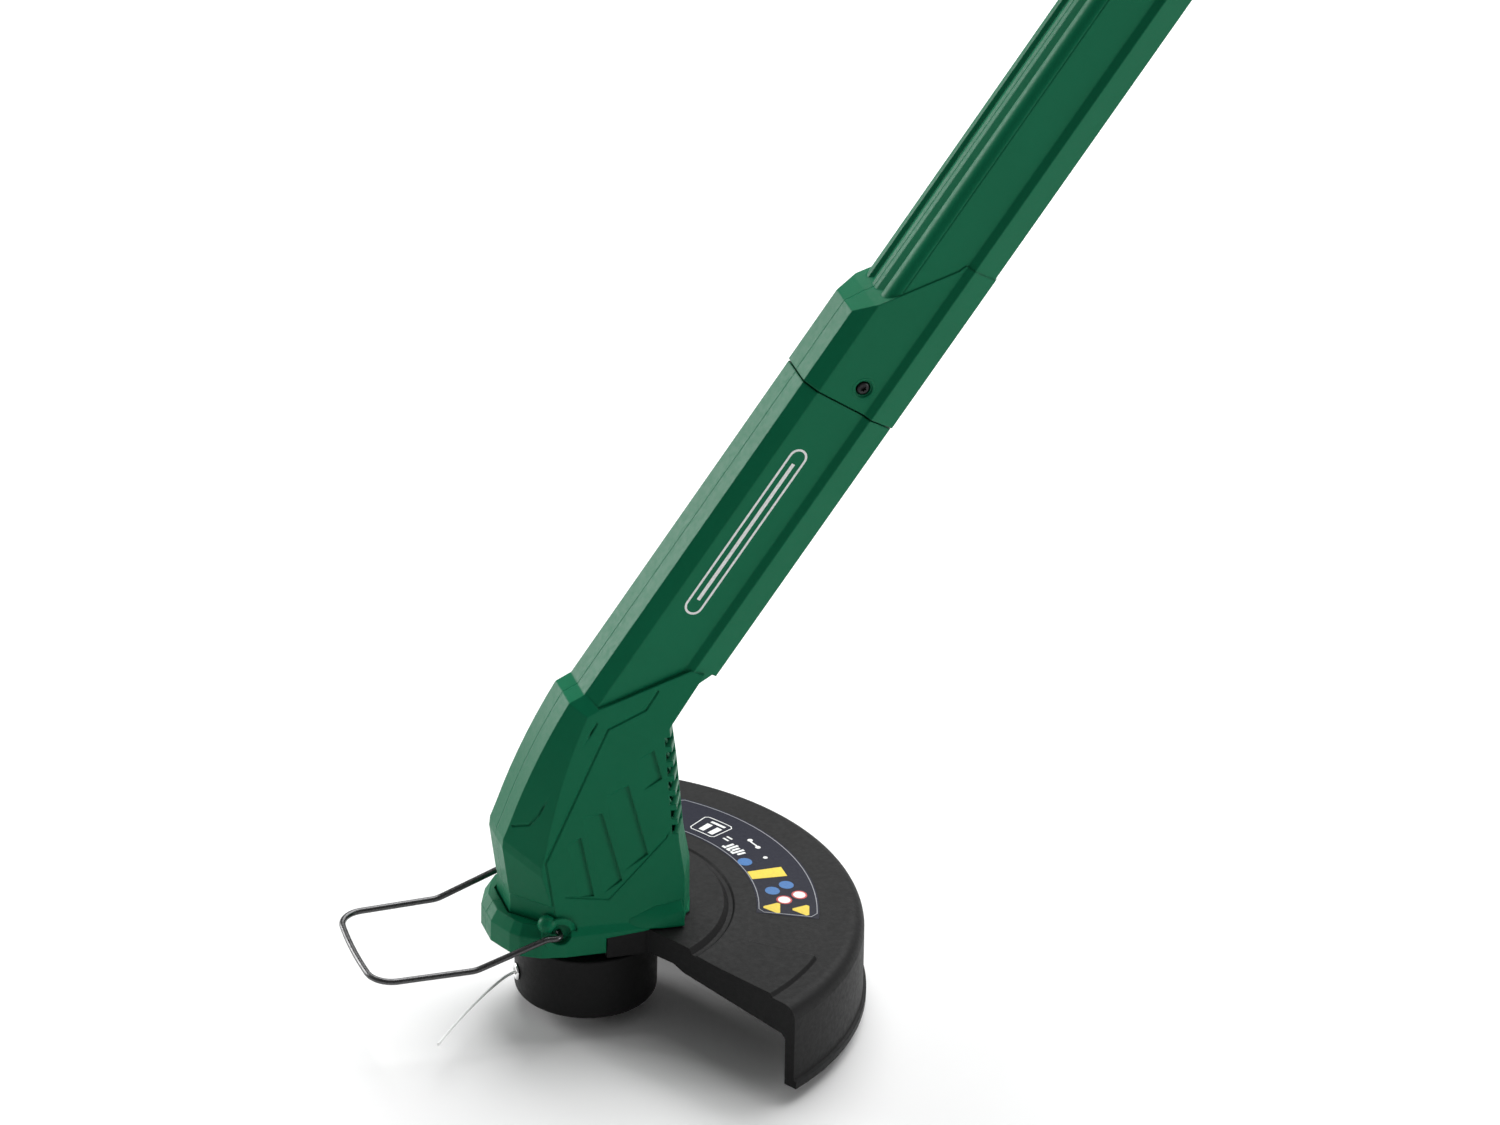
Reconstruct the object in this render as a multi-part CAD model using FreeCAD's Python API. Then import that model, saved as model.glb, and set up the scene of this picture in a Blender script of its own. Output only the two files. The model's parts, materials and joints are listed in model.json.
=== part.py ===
"""Corded string trimmer: tap head, brushed motor, clamshell housing and shaft, guard and two handles.

Frame, in millimetres: Z is the spool axis and points up, the tap knob rests on the plane z = 0,
X points from the head towards the operator and the trimmer is symmetric about the plane y = 0.
The shaft has its own upright frame: s runs along it, n is the side that faces forwards and up.
"""
import FreeCAD, Part
import math
import os

# ---- shaft and joint ----
SHAFT_TILT = 34.5        # degrees that the shaft leans from vertical towards the operator
JOINT_S = 318.0          # plane where the upper shaft meets the lower one
JOINT_GAP = 0.9          # open seam between the two shafts
SPIGOT_END = 349.0       # end of the lower shaft's plug inside the collar
HANDLE_S = 742.0         # where the tube widens into the rear handle
TOP_S = 938.0            # end of the handle
WALL = 2.4               # shell wall thickness
COLLAR_GROWTH = 0.5      # the collar stands this far proud of the lower shaft
JOINT_SCREW_S = 328.7
JOINT_SCREW_N = 76.7

# half outlines of the shaft section, as (n, y) from the front face round to the rear face
LOWER_SECTION = [(101.6, 10.8), (95.3, 16.1), (68.4, 16.1), (65.3, 18.7), (51.9, 15.0), (49.6, 11.0)]

# ---- motor housing ----
BASE_Z = 44.0            # underside of the flange
FRONT_FLAT = 11.0        # half width of the flat front strip
FRONT_BEVEL = 1.19       # how far the front bevel runs back for each millimetre outwards
REAR_FLAT = 14.0         # half width of the flat rear wall
REAR_BEVEL = 0.45
SIDE_Y = 31.0            # half width at x = 0, z = SIDE_Z
SIDE_Z = 60.0
SIDE_DX = 0.058          # widening towards the rear
SIDE_DZ = -0.1244        # narrowing upwards
SEAT_Z = 51.8            # roof of the guard's seat at x = 0
SEAT_SLOPE = 0.075
FLANGE_HALF = [(-49, 8), (-46, 15), (-43.5, 20.5), (-40, 25), (-31, 30), (-20, 32.3), (-3, 33.2),
               (18, 34), (32, 32.5), (42.5, 25.5), (46.5, 14), (47, 0)]
VENT_COUNT = 7
VENT_PITCH = 7.3
VENT_TOP = 146.0
PANEL_EDGE = [(27.2, 172.0), (21.1, 163.1), (3.0, 155.5), (-28.0, 92.0), (-24.0, 63.0)]
FRONT_EDGE = [(-1.9, 159.3), (-29.5, 114.6), (-33.5, 109.0), (-40.4, 106.6)]
LOWER_EDGE = [(-19.0, 74.0), (1.5, 70.6), (29.4, 98.3), (36.0, 112.0)]
FINS = [
    [(0.5, 121.9), (12.0, 126.4), (20.6, 91.0), (9.0, 84.0)],
    [(-10.5, 112.5), (-0.6, 114.0), (8.0, 79.5), (-1.0, 74.0)],
    [(-17.5, 100.0), (-11.0, 103.0), (-5.5, 73.0), (-13.0, 73.5)],
    [(16.0, 138.0), (24.5, 142.5), (28.0, 128.0), (18.5, 123.0)],
]

# ---- shell bosses and screws ----
LOWER_BOSSES = [(-33.5, 66.0), (35.0, 66.5), (24.0, 146.5), (-19.5, 141.0)]   # (x, z)
LOWER_SHAFT_BOSSES = [(205.0, 58.5), (288.0, 58.5)]                            # (s, n)
UPPER_BOSSES = [(385.0, 58.5), (470.0, 58.5), (560.0, 58.5), (690.0, 58.5), (768.0, 110.0), (775.0, 55.5),
                (921.0, 103.0)]
BOSS_R = 4.2
SCREW_R = 1.5
SCREW_HEAD_R = 3.4
SCREW_HEAD_Y = 9.0

# ---- plant guard ----
PIVOT_X = -22.4
PIVOT_Z = 56.2
WIRE_R = 1.5
LEG_Y = 34.6             # legs at the pivot
LEG_Y_FRONT = 32.3       # legs at the front bar
WIRE_LEVEL = 44.6
BEND_RADII = [3.2, 8.0, 14.0, 12.0, 260.0, 12.0, 14.0, 8.0, 3.2]

# ---- guard ----
GUARD_HALF_ANGLE = 59.5
GUARD_R = 131.8
PLATEAU_R = 64.0
PLATEAU_Z = 53.8
GUARD_INNER_R = 36.0
GUARD_SCREWS = [(20.0, 22.0), (20.0, -22.0), (37.0, 0.0)]
LABEL_R0 = 79.4
LABEL_R1 = 108.8
LABEL_A0 = -22.0
LABEL_A1 = 50.0
BLADE_ANGLE = 52.0

# ---- head ----
CUP_R = 33.5
CUP_TOP = 39.3
CUP_BOTTOM = 7.5
LINE_Z = 19.6
LINE_R = 0.7
KNOB_R = 14.0
SHAFT_R = 4.0
RUN_FIT = 0.03           # radial clearance of running fits
CUTTING_LINE = [(-33.2, 0.0, 19.6), (-37.6, -0.9, 19.3), (-44.4, -5.4, 18.6), (-54.5, -13.6, 17.6),
                (-65.2, -23.8, 16.9), (-75.4, -34.6, 16.4), (-85.0, -46.0, 16.1)]

# ---- motor ----
STATOR_Z0 = 80.0
STATOR_Z1 = 114.0
ARMATURE_R = 13.2
COMMUTATOR_R = 9.0
BRUSH_Z = 125.0
LOWER_BEARING_Z = 58.5
UPPER_BEARING_Z = 133.0
FAN_R = 23.0

# ---- handles ----
BAIL_S = 620.0
BAIL_N = 80.0
BAIL_TILT = 18.0         # rest angle of the front handle, leaning back to the operator
TRIGGER_PIVOT = (797.0, 106.0)
LOCK_S = 822.0
GRIP_S0 = 850.0
GRIP_S1 = 903.0
GLAND_R = 6.5
GLAND_N = 76.0
GLAND_BORE = 3.7
PLUNGER_S = 837.0
BAIL_R = 8.5
KNOB_FACE_Y = -40.5
SIDE_LINE_N = 88.6       # thin lines along both sides of the upper shaft

Z_AXIS = FreeCAD.Vector(0, 0, 1)
Y_AXIS = FreeCAD.Vector(0, 1, 0)
ORIGIN = FreeCAD.Vector(0, 0, 0)


def vec(x, y, z):
    return FreeCAD.Vector(x, y, z)


# ---------------------------------------------------------------- general shapes

def disc(radius, z0, z1, x=0.0, y=0.0):
    return Part.makeCylinder(radius, z1 - z0, vec(x, y, z0))


def ring(outer, inner, z0, z1):
    return disc(outer, z0, z1).cut(disc(inner, z0 - 1, z1 + 1))


def rod(start, end, radius):
    return Part.makeCylinder(radius, (end - start).Length, start, end - start)


def block(x0, x1, y0, y1, z0, z1):
    return Part.makeBox(x1 - x0, y1 - y0, z1 - z0, vec(x0, y0, z0))


def fuse(shapes):
    return shapes[0].multiFuse(shapes[1:]).removeSplitter()


def path_edges(path, place):
    """Edges through a list of 2D points; a point given as ('arc', mid, end) is reached by an arc."""
    edges = []
    here = path[0]
    for step in path[1:]:
        if step[0] == "arc":
            edges.append(Part.Arc(place(here), place(step[1]), place(step[2])).toShape())
            here = step[2]
        else:
            edges.append(Part.makeLine(place(here), place(step)))
            here = step
    if math.dist(here, path[0]) > 1e-6:
        edges.append(Part.makeLine(place(here), place(path[0])))
    return edges


def face(path, place):
    return Part.Face(Part.Wire(path_edges(path, place)))


def side_prism(path, y0, y1, lean=(0.0, 0.0)):
    """Prism of an (x, z) outline from y0 to y1; lean shifts it in x and z per millimetre of y."""
    start = face(path, lambda p: vec(p[0], y0, p[1]))
    run = y1 - y0
    return start.extrude(vec(lean[0] * run, run, lean[1] * run))


def plan_prism(path, z0, z1):
    return face(path, lambda p: vec(p[0], p[1], z0)).extrude(vec(0, 0, z1 - z0))


def lathe(path, start_deg=0.0, sweep_deg=360.0):
    """Solid of revolution of an (r, z) outline about the spool axis."""
    section = face(path, lambda p: vec(p[0], 0, p[1]))
    section.rotate(ORIGIN, Z_AXIS, start_deg)
    return section.revolve(ORIGIN, Z_AXIS, sweep_deg)


def mirror_half(half):
    """Closed outline from a half outline with positive second coordinate."""
    other = [(a, -b) for a, b in reversed(half) if b > 1e-6]
    return list(half) + other


def inset(path_face, distance):
    return path_face.makeOffset2D(-distance) if distance else path_face


def lean_back(shape):
    """Moves a shape from the upright shaft frame, with x = -n and z = s, to its real lean."""
    moved = shape.copy()
    moved.rotate(ORIGIN, Y_AXIS, SHAFT_TILT)
    return moved


def shaft_point(s, n, y=0.0):
    tilt = math.radians(SHAFT_TILT)
    x = s * math.sin(tilt) - n * math.cos(tilt)
    return vec(x, y, s * math.cos(tilt) + n * math.sin(tilt))


def shaft_xz(s, n):
    point = shaft_point(s, n)
    return (point.x, point.z)


def round_edges(solid, wanted, radius):
    """Fillets the edges that the test picks."""
    edges = [e for e in solid.Edges if wanted(e)]
    return solid.makeFillet(radius, edges)


def halves(solid):
    """The near half, y < 0, and the far half, y > 0."""
    big = 2000.0
    near = solid.common(block(-big, big, -big, 0, -big, big))
    far = solid.common(block(-big, big, 0, big, -big, big))
    return near, far


# ---------------------------------------------------------------- shaft sections

def section_prism(half, s0, s1, grow=0.0):
    outline = face(mirror_half(half), lambda p: vec(-p[0], p[1], s0))
    grown = outline.makeOffset2D(grow, 2) if grow else outline
    return grown.extrude(vec(0, 0, s1 - s0))


def lower_tube(s0, s1, grow=0.0):
    return section_prism(LOWER_SECTION, s0, s1, grow)


def upper_tube(s0, s1, grow=0.0):
    """Upper shaft: fluted front, rounded front corners, the lower shaft's sides and rear."""
    right = [(93.5, 3.0), (91.7, 7.2), (93.4, 8.9), (93.4, 10.5), ("arc", (92.2, 14.0), (88.9, 16.1)),
             (68.4, 16.1), (65.3, 18.7), (51.9, 15.0), (49.6, 11.0), (49.6, -11.0), (51.9, -15.0),
             (65.3, -18.7), (68.4, -16.1), (88.9, -16.1), ("arc", (92.2, -14.0), (93.4, -10.5)),
             (93.4, -8.9), (91.7, -7.2), (93.5, -3.0)]
    outline = face(right, lambda p: vec(-p[0], p[1], s0))
    grown = outline.makeOffset2D(grow, 2) if grow else outline
    return grown.extrude(vec(0, 0, s1 - s0))


def collar(grow=0.0):
    """Sleeve of the upper shaft round the joint, cut off along its sloping top edge."""
    sleeve = lower_tube(JOINT_S, JOINT_S + 92, COLLAR_GROWTH + grow)
    profile = [(-110, JOINT_S - 5), (-110, 352), (-102.5, 356.5), (-96.5, 365.5), (-71, 398), (-69.4, 402),
               (-40, 402), (-40, JOINT_S - 5)]
    return sleeve.common(side_prism(profile, -30, 30))


# ---------------------------------------------------------------- motor housing

def front_path(extended):
    """Front of the housing in side view, from the flange up to the shaft."""
    path = [(-40.0, BASE_Z), (-41.0, 70.0), (-44.6, 95.0), (-44.2, 99.5), (-41.3, 107.0)]
    arc = ("arc", (-29.6, 136.2), shaft_xz(130.3, 105.6))
    end = shaft_xz(138.0, 101.2)
    if extended:
        return [(-38.0, -60.0)] + path + [arc, end, shaft_xz(400.0, 101.2)]
    return path + [arc, end]


def housing_profile():
    rear = [shaft_xz(136.0, 94.5), shaft_xz(172.5, 66.5), shaft_xz(174.5, 54.5), shaft_xz(167.0, 58.8),
            (35.4, 152.5), (38.0, 134.0), (42.0, 96.0), (45.4, 78.0), (46.0, BASE_Z)]
    return front_path(False) + rear


def housing_body(thinner=0.0):
    """Motor pod: side profile, bevelled front and rear corners, tapering sides."""
    flat = face(housing_profile(), lambda p: vec(p[0], 0, p[1]))
    flat = inset(flat, thinner)
    start = flat.copy()
    start.translate(vec(0, -45, 0))
    pod = start.extrude(vec(0, 90, 0))
    tilt = math.radians(SHAFT_TILT)
    back = (math.cos(tilt), -math.sin(tilt))
    far_back = [shaft_xz(400.0, -250.0), (350.0, -60.0)]
    for side in (1, -1):
        front = face(front_path(True) + far_back, lambda p: vec(p[0], 0, p[1]))
        front = inset(front, thinner)
        span = 60.0
        offset = -(FRONT_FLAT - 0.55 * thinner) * FRONT_BEVEL - span * FRONT_BEVEL
        front.translate(vec(back[0] * offset, -side * span, back[1] * offset))
        reach = 2 * span * FRONT_BEVEL
        pod = pod.common(front.extrude(vec(back[0] * reach, side * 2 * span, back[1] * reach)))
    for side in (1, -1):
        rear_x = REAR_FLAT * REAR_BEVEL - thinner
        rear = [(-150, -20), (46.0 + rear_x, -20), (46.0 + rear_x, BASE_Z), (45.4 + rear_x, 78.0),
                (42.0 + rear_x, 96.0), (38.0 + rear_x, 134.0), (35.4 + rear_x, 152.5),
                (60.0 + rear_x, 190.0), (60.0 + rear_x, 260.0), (-150, 260)]
        pod = pod.common(side_prism(rear, 0, side * 60, (-side * REAR_BEVEL, 0)).fuse(
            block(-150, 150, *sorted((0, -side * 60)), -20, 260)))
    return pod.common(side_wedge(thinner))


def side_plane_y(x, z):
    return SIDE_Y + SIDE_DX * x + SIDE_DZ * (z - SIDE_Z)


def side_wedge(thinner):
    """Space between the two tapering side planes."""
    corners = [(-80, 20), (80, 20), (80, 200), (-80, 200)]
    wires = []
    for side in (-1, 1):
        points = [vec(x, side * (side_plane_y(x, z) - thinner), z) for x, z in corners]
        wires.append(Part.makePolygon(points + points[:1]))
    return Part.makeLoft(wires, True, True)


def skin_y(solid, x, z):
    """Half width of a solid at a point of its side view."""
    ray = Part.makeLine(vec(x, 0.5, z), vec(x, 60, z))
    return solid.common(ray).BoundBox.YMax


def flange(thinner=0.0):
    """Base of the housing with a bevelled top edge."""
    plan = face(mirror_half(FLANGE_HALF), lambda p: vec(p[0], p[1], 0))
    layers = [(0.0, BASE_Z), (0.0, 54.5), (3.2, 60.0)]
    solids = []
    for (inner0, z0), (inner1, z1) in zip(layers, layers[1:]):
        wires = []
        for gap, height in ((inner0, z0), (inner1, z1)):
            wire = plan.makeOffset2D(-gap - thinner, 2).OuterWire if gap + thinner else plan.OuterWire
            wire = wire.copy()
            wire.translate(vec(0, 0, height))
            wires.append(wire)
        solids.append(Part.makeLoft(wires, True, True))
    return fuse(solids)


def grooves(skin, routes, radius):
    """Half round grooves along side-view routes, on both sides of a skin."""
    cutters = []
    for route in routes:
        points = [vec(x, skin_y(skin, x, z), z) for x, z in route]
        for a, b in zip(points, points[1:]):
            for side in (1, -1):
                start = vec(a.x, side * a.y, a.z)
                end = vec(b.x, side * b.y, b.z)
                cutters.append(rod(start, end, radius))
    return cutters


def sunk_fin(corners, depth):
    """Wedge-shaped recess in both side panels: flush at the first edge, deepest at the opposite one."""
    cutters = []
    for side in (1, -1):
        outer = [vec(x, side * (side_plane_y(x, z) + 0.05), z) for x, z in corners]
        deep = [p - vec(0, side * depth, 0) for p in outer[1:3]]
        a, b, c, d = outer
        loops = [[a, b, c, d], [a, b, deep[0]], [d, c, deep[1]], [b, c, deep[1], deep[0]],
                 [a, d, deep[1]], [a, deep[1], deep[0]]]
        faces = [Part.Face(Part.makePolygon(loop + loop[:1])) for loop in loops]
        cutters.append(Part.Solid(Part.Shell(faces)))
    return cutters


def vents():
    """Cooling slots that wrap from the rear wall round its corners."""
    slots = []
    for i in range(VENT_COUNT):
        z = VENT_TOP - i * VENT_PITCH
        for y0, y1 in ((-32, -14.6), (-11.0, 11.0), (14.6, 32)):
            x0 = 29.8 + 0.055 * (VENT_TOP - z)
            slots.append(block(x0, 60, y0, y1, z - 2.3, z + 2.1))
    return slots


def boss_posts(points, outer):
    posts = []
    for x, z in points:
        post = rod(vec(x, -60, z), vec(x, 60, z), BOSS_R)
        posts.append(post.common(outer))
    return posts


def boss_holes(points):
    """Clearance and head recess from the far side, blind pilot hole in the near side."""
    cutters = []
    for x, z in points:
        cutters.append(rod(vec(x, 0, z), vec(x, SCREW_HEAD_Y + 1, z), SCREW_R + 0.35))
        cutters.append(rod(vec(x, SCREW_HEAD_Y, z), vec(x, 60, z), SCREW_HEAD_R + 0.25))
        cutters.append(rod(vec(x, -12.5, z), vec(x, 0.5, z), SCREW_R + 0.02))
    return cutters


def shell_screw(x, z):
    """Countersunk-free pan screw along Y with a six-lobe drive."""
    shank = rod(vec(x, -12, z), vec(x, SCREW_HEAD_Y, z), SCREW_R)
    head = rod(vec(x, SCREW_HEAD_Y, z), vec(x, SCREW_HEAD_Y + 2.2, z), SCREW_HEAD_R)
    drive = rod(vec(x, SCREW_HEAD_Y + 0.9, z), vec(x, SCREW_HEAD_Y + 4, z), 1.3)
    return fuse([shank, head]).cut(drive)


def all_shell_bosses():
    lower = LOWER_BOSSES + [shaft_xz(s, n) for s, n in LOWER_SHAFT_BOSSES]
    upper = [shaft_xz(s, n) for s, n in UPPER_BOSSES]
    return lower, upper


def joint_axis(y):
    return shaft_point(JOINT_SCREW_S, JOINT_SCREW_N, y)


def neck_step(grow):
    """Space under the shaft's rear face where it steps in to meet the pod."""
    corners = [(174.5 + grow, 30.0), (174.5 + grow, 54.5 + grow), (167.0 + grow, 58.8 + grow),
               (90.0, 58.8 + grow),
               (90.0, 30.0)]
    return side_prism([shaft_xz(s, n) for s, n in corners], -60, 60)


def lower_shells():
    pod = housing_body()
    base = flange()
    tube = lean_back(lower_tube(112, JOINT_S - JOINT_GAP)).cut(neck_step(0.0))
    spigot = lean_back(lower_tube(JOINT_S - JOINT_GAP - 1, SPIGOT_END, -WALL - 0.15))
    outer = fuse([pod, base, tube, spigot])
    # cavities
    cavity = housing_body(WALL + 0.2).common(block(-80, 80, -80, 80, 57.8, 300))
    front_pocket = flange(3.0).common(block(-80, -4, -80, 80, BASE_Z + 2.6, 59))
    front_pocket = front_pocket.common(housing_body(WALL + 0.2).fuse(block(-30, 0, -30, 30, 40, 59)))
    tube_cavity = lean_back(lower_tube(100, JOINT_S - 4, -WALL)).cut(neck_step(WALL))
    plug_cavity = lean_back(lower_tube(JOINT_S - 5, SPIGOT_END + 2, -2 * WALL - 0.15))
    shell = outer.cut([cavity, front_pocket, tube_cavity, plug_cavity])
    # screw posts, the wire's pivot blocks and the post that the joint screw passes through
    bosses = all_shell_bosses()[0]
    extras = boss_posts(bosses, outer) + guard_posts()
    for side in (1, -1):
        pivot = rod(vec(PIVOT_X, side * 24.0, PIVOT_Z), vec(PIVOT_X, side * 33.0, PIVOT_Z), 8.5)
        extras.append(pivot.common(outer.fuse(block(-60, 0, *sorted((side * 20, side * 31)), 46, 70))))
        dome = Part.makeSphere(4.6, vec(PIVOT_X - 5.2, side * 28.0, PIVOT_Z + 4.6))
        extras.append(dome)
    plug = lean_back(lower_tube(300, SPIGOT_END, -WALL - 0.2))
    extras.append(rod(joint_axis(-16), joint_axis(16), 4.6).common(plug))
    shell = fuse([shell] + extras)
    # details
    cuts = [disc(12.6, 40, 60)]
    cuts.append(side_prism([(-0.5, 30), (-0.5, SEAT_Z), (70, SEAT_Z + 70 * SEAT_SLOPE), (70, 30)], -60, 60))
    cuts += vents()
    cuts += grooves(pod, [PANEL_EDGE, FRONT_EDGE], 0.55)
    cuts += grooves(pod, [LOWER_EDGE], 0.35)
    for fin in FINS:
        cuts += sunk_fin(fin, 1.1)
    cuts.append(flange_gap())
    for side in (1, -1):
        cuts.append(rod(vec(PIVOT_X, side * 28.6, PIVOT_Z), vec(PIVOT_X, side * 42, PIVOT_Z), 5.3))
        cuts.append(rod(vec(PIVOT_X, side * 24.5, PIVOT_Z), vec(PIVOT_X, side * 30, PIVOT_Z), WIRE_R + 0.06))
    cuts.append(rod(joint_axis(-40), joint_axis(40), 1.9))
    cuts += boss_holes(bosses)
    cuts += [disc(SCREW_R + 0.02, seat_z(x) - 1, seat_z(x) + 8, x, y) for x, y in GUARD_SCREWS]
    return halves(shell.cut(cuts))


def flange_gap():
    """Narrow gap between the front rim of the flange and the pod."""
    rim = front_slice(1.1).cut(front_slice(0.0))
    return rim.common(block(-60, -14, -60, 60, 55.5, 70))


def front_slice(grow):
    """Plan slice of the pod's front, larger by the given amount."""
    points = [(-40.6, 11), (-23.5, 29.3), (-10, 30.6)]
    path = [(x - grow, y + 0.4 * grow) if i == 0 else (x - 0.7 * grow, y + 0.7 * grow)
            for i, (x, y) in enumerate(points)]
    return plan_prism(mirror_half(path), 50, 75)


def seat_z(x):
    return SEAT_Z + SEAT_SLOPE * x


def guard_posts():
    """Posts above the seat's roof that the guard screws bite into."""
    return [disc(4.0, seat_z(x) + 1, seat_z(x) + 9, x, y) for x, y in GUARD_SCREWS]


def joint_screw():
    """Long screw across the shaft joint, head in the near side of the collar."""
    head_y = -14.4
    shank = rod(joint_axis(head_y), joint_axis(13.2), 1.8)
    head = rod(joint_axis(head_y - 2.0), joint_axis(head_y), 3.0)
    drive = rod(joint_axis(head_y - 3.0), joint_axis(head_y - 0.9), 1.35)
    return fuse([shank, head]).cut(drive)


# ---------------------------------------------------------------- upper shaft and rear handle

def handle_outer(thinner=0.0, width=17.0):
    """Closed rear handle: grip bar above, thin bar below, end block with the cord inlet."""
    outline = [(-93.3, HANDLE_S - 22), ("arc", (-108.0, 758.0), (-122.0, 772.0)),
               ("arc", (-128.5, 786.0), (-130.0, 802.0)),
               (-130.0, 905.0), ("arc", (-127.0, 918.0), (-118.0, 926.0)), (-92.0, TOP_S), (-62.0, TOP_S),
               ("arc", (-50.0, 932.0), (-46.5, 918.0)), (-47.5, 800.0), (-49.8, HANDLE_S - 22)]
    flat = face(outline, lambda p: vec(p[0], -width + thinner, p[1]))
    flat = inset(flat, thinner)
    solid = flat.extrude(vec(0, 2 * (width - thinner), 0))
    loop = opening_path()
    hole = face(loop, lambda p: vec(p[0], -40, p[1]))
    if thinner:
        hole = hole.makeOffset2D(thinner)
    solid = solid.cut(hole.extrude(vec(0, 80, 0)))
    return solid


def opening_path():
    """Finger opening between the two bars, as (x, z) of the upright shaft frame."""
    return [(-68.0, 796.0), ("arc", (-71.0, 787.0), (-80.0, 783.5)), (-91.0, 783.0),
            ("arc", (-98.5, 786.5), (-101.0, 794.0)), (-102.0, 895.0),
            ("arc", (-98.5, 904.5), (-89.0, 908.0)),
            (-78.0, 908.0), ("arc", (-69.5, 904.5), (-66.0, 896.0))]


def handle_round(solid, radius):
    """Rounds the long edges of the handle."""
    def flat_edge(edge):
        box = edge.BoundBox
        return box.YLength < 1e-6 and abs(abs(box.YMin) - 17.0) < 1e-3
    return round_edges(solid, flat_edge, radius)


def upper_shells():
    tube = upper_tube(JOINT_S + 30, HANDLE_S)
    grip_body = handle_round(handle_outer(), 5.5)
    outer = fuse([tube, collar(), grip_body])
    cavity = [upper_tube(SPIGOT_END, HANDLE_S + 4, -WALL),
              lower_tube(JOINT_S - 3, SPIGOT_END + 1.5, COLLAR_GROWTH - WALL),
              handle_outer(WALL + 0.4).common(block(-200, 0, -40, 40, HANDLE_S - 8, 1000))]
    lines = []
    for side in (1, -1):
        start, end = vec(-SIDE_LINE_N, side * 16.3, 377), vec(-SIDE_LINE_N, side * 16.3, HANDLE_S - 14)
        lines.append(rod(start, end, 0.5))
    shell = outer.cut(cavity + lines)
    shell = lean_back(shell)
    outer = lean_back(outer)
    bosses = all_shell_bosses()[1]
    posts = boss_posts(bosses, outer)
    bail_post = rod(shaft_point(BAIL_S, BAIL_N, -16), shaft_point(BAIL_S, BAIL_N, 16), 6.0)
    shell = fuse([shell] + posts + [bail_post])
    cuts = boss_holes(bosses)
    cuts.append(rod(shaft_point(BAIL_S, BAIL_N, -40), shaft_point(BAIL_S, BAIL_N, 40), 3.05))
    cuts += joint_recesses()
    cuts.append(lean_back(trigger_slot()))
    cuts.append(lean_back(lock_slot()))
    cuts.append(lean_back(disc(GLAND_R + 0.02, TOP_S - 12, TOP_S + 5, -GLAND_N, 0)))
    cuts.append(lean_back(grip_pad_solid()))
    return halves(shell.cut(cuts))


def joint_recesses():
    """Stepped round recess for the joint screw's head and its clearance hole."""
    near = [rod(joint_axis(-40), joint_axis(-15.8), 5.4), rod(joint_axis(-40), joint_axis(-14.38), 3.6)]
    return near + [rod(joint_axis(-16.5), joint_axis(15.0), 1.9)]


def trigger_slot():
    s, _n = TRIGGER_PIVOT
    return block(-106.5, -88, -6.2, 6.2, s - 5.0, s + 49)


def lock_slot():
    return block(-140, -122, -6.3, 6.3, LOCK_S - 9.3, LOCK_S + 9.3)


def grip_pad_solid():
    """Soft pad set flush into the back of the grip bar."""
    bar = handle_round(handle_outer(), 5.5)
    zone = block(-140, -108.0, -40, 40, GRIP_S0, GRIP_S1)
    core = block(-128.6, -60, -15.6, 15.6, GRIP_S0 - 5, GRIP_S1 + 5)
    core = round_edges(core, lambda e: abs(e.BoundBox.XMin + 128.6) < 1e-3 and e.BoundBox.ZLength > 20, 4.2)
    return bar.common(zone).cut(core)


def cord_gland():
    """Bushing in the end of the handle that a mains lead enters through."""
    body = disc(GLAND_R, TOP_S - 10, TOP_S + 3, -GLAND_N, 0)
    lip = disc(9.0, TOP_S + 0.02, TOP_S + 3, -GLAND_N, 0)
    inner_lip = disc(8.0, TOP_S - 10, TOP_S - 2.85, -GLAND_N, 0)
    bush = fuse([body, lip, inner_lip])
    bush = round_edges(bush, lambda e: e.BoundBox.ZLength < 1e-6 and e.BoundBox.ZMin > TOP_S + 2.9
                       and e.BoundBox.YLength > 17, 1.0)
    return lean_back(bush.cut(disc(GLAND_BORE, TOP_S - 12, TOP_S + 5, -GLAND_N, 0)))


def cord_clamp():
    """Saddle with two screws that grips the lead inside the end block."""
    outline = [(-90.0, -6.0), (-81.5, -6.0), (-81.5, -8.4), (-70.5, -8.4),
               (-70.5, -6.0), (-62.0, -6.0), (-62.0, -4.0),
               (-72.4, -4.0), ("arc", (-76.0, -7.6), (-79.6, -4.0)), (-90.0, -4.0)]
    saddle = face(outline, lambda p: vec(p[0], p[1], 912)).extrude(vec(0, 0, 8))
    for x in (-86.5, -65.5):
        saddle = saddle.cut(rod(vec(x, -20, 916), vec(x, 20, 916), 1.5))
    return lean_back(saddle)


def trigger():
    s, n = TRIGGER_PIVOT
    outline = [(-n - 2.6, s - 2.0), ("arc", (-n + 1.0, s - 4.4), (-n + 5.0, s - 2.5)), (-95.0, s + 3.0),
               ("arc", (-93.6, s + 14.0), (-92.4, s + 36.0)), ("arc", (-93.5, s + 40.5), (-97.0, s + 41.5)),
               (-103.5, s + 41.0), (-105.5, s + 34.0), (-104.0, s + 12.0), (-n - 2.6, s + 4.0)]
    body = face(outline, lambda p: vec(p[0], -5.6, p[1])).extrude(vec(0, 11.2, 0))
    return lean_back(body.cut(rod(vec(-n, -20, s), vec(-n, 20, s), 1.55)))


def trigger_pin():
    s, n = TRIGGER_PIVOT
    return lean_back(rod(vec(-n, -10.5, s), vec(-n, 10.5, s), 1.5))


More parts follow.
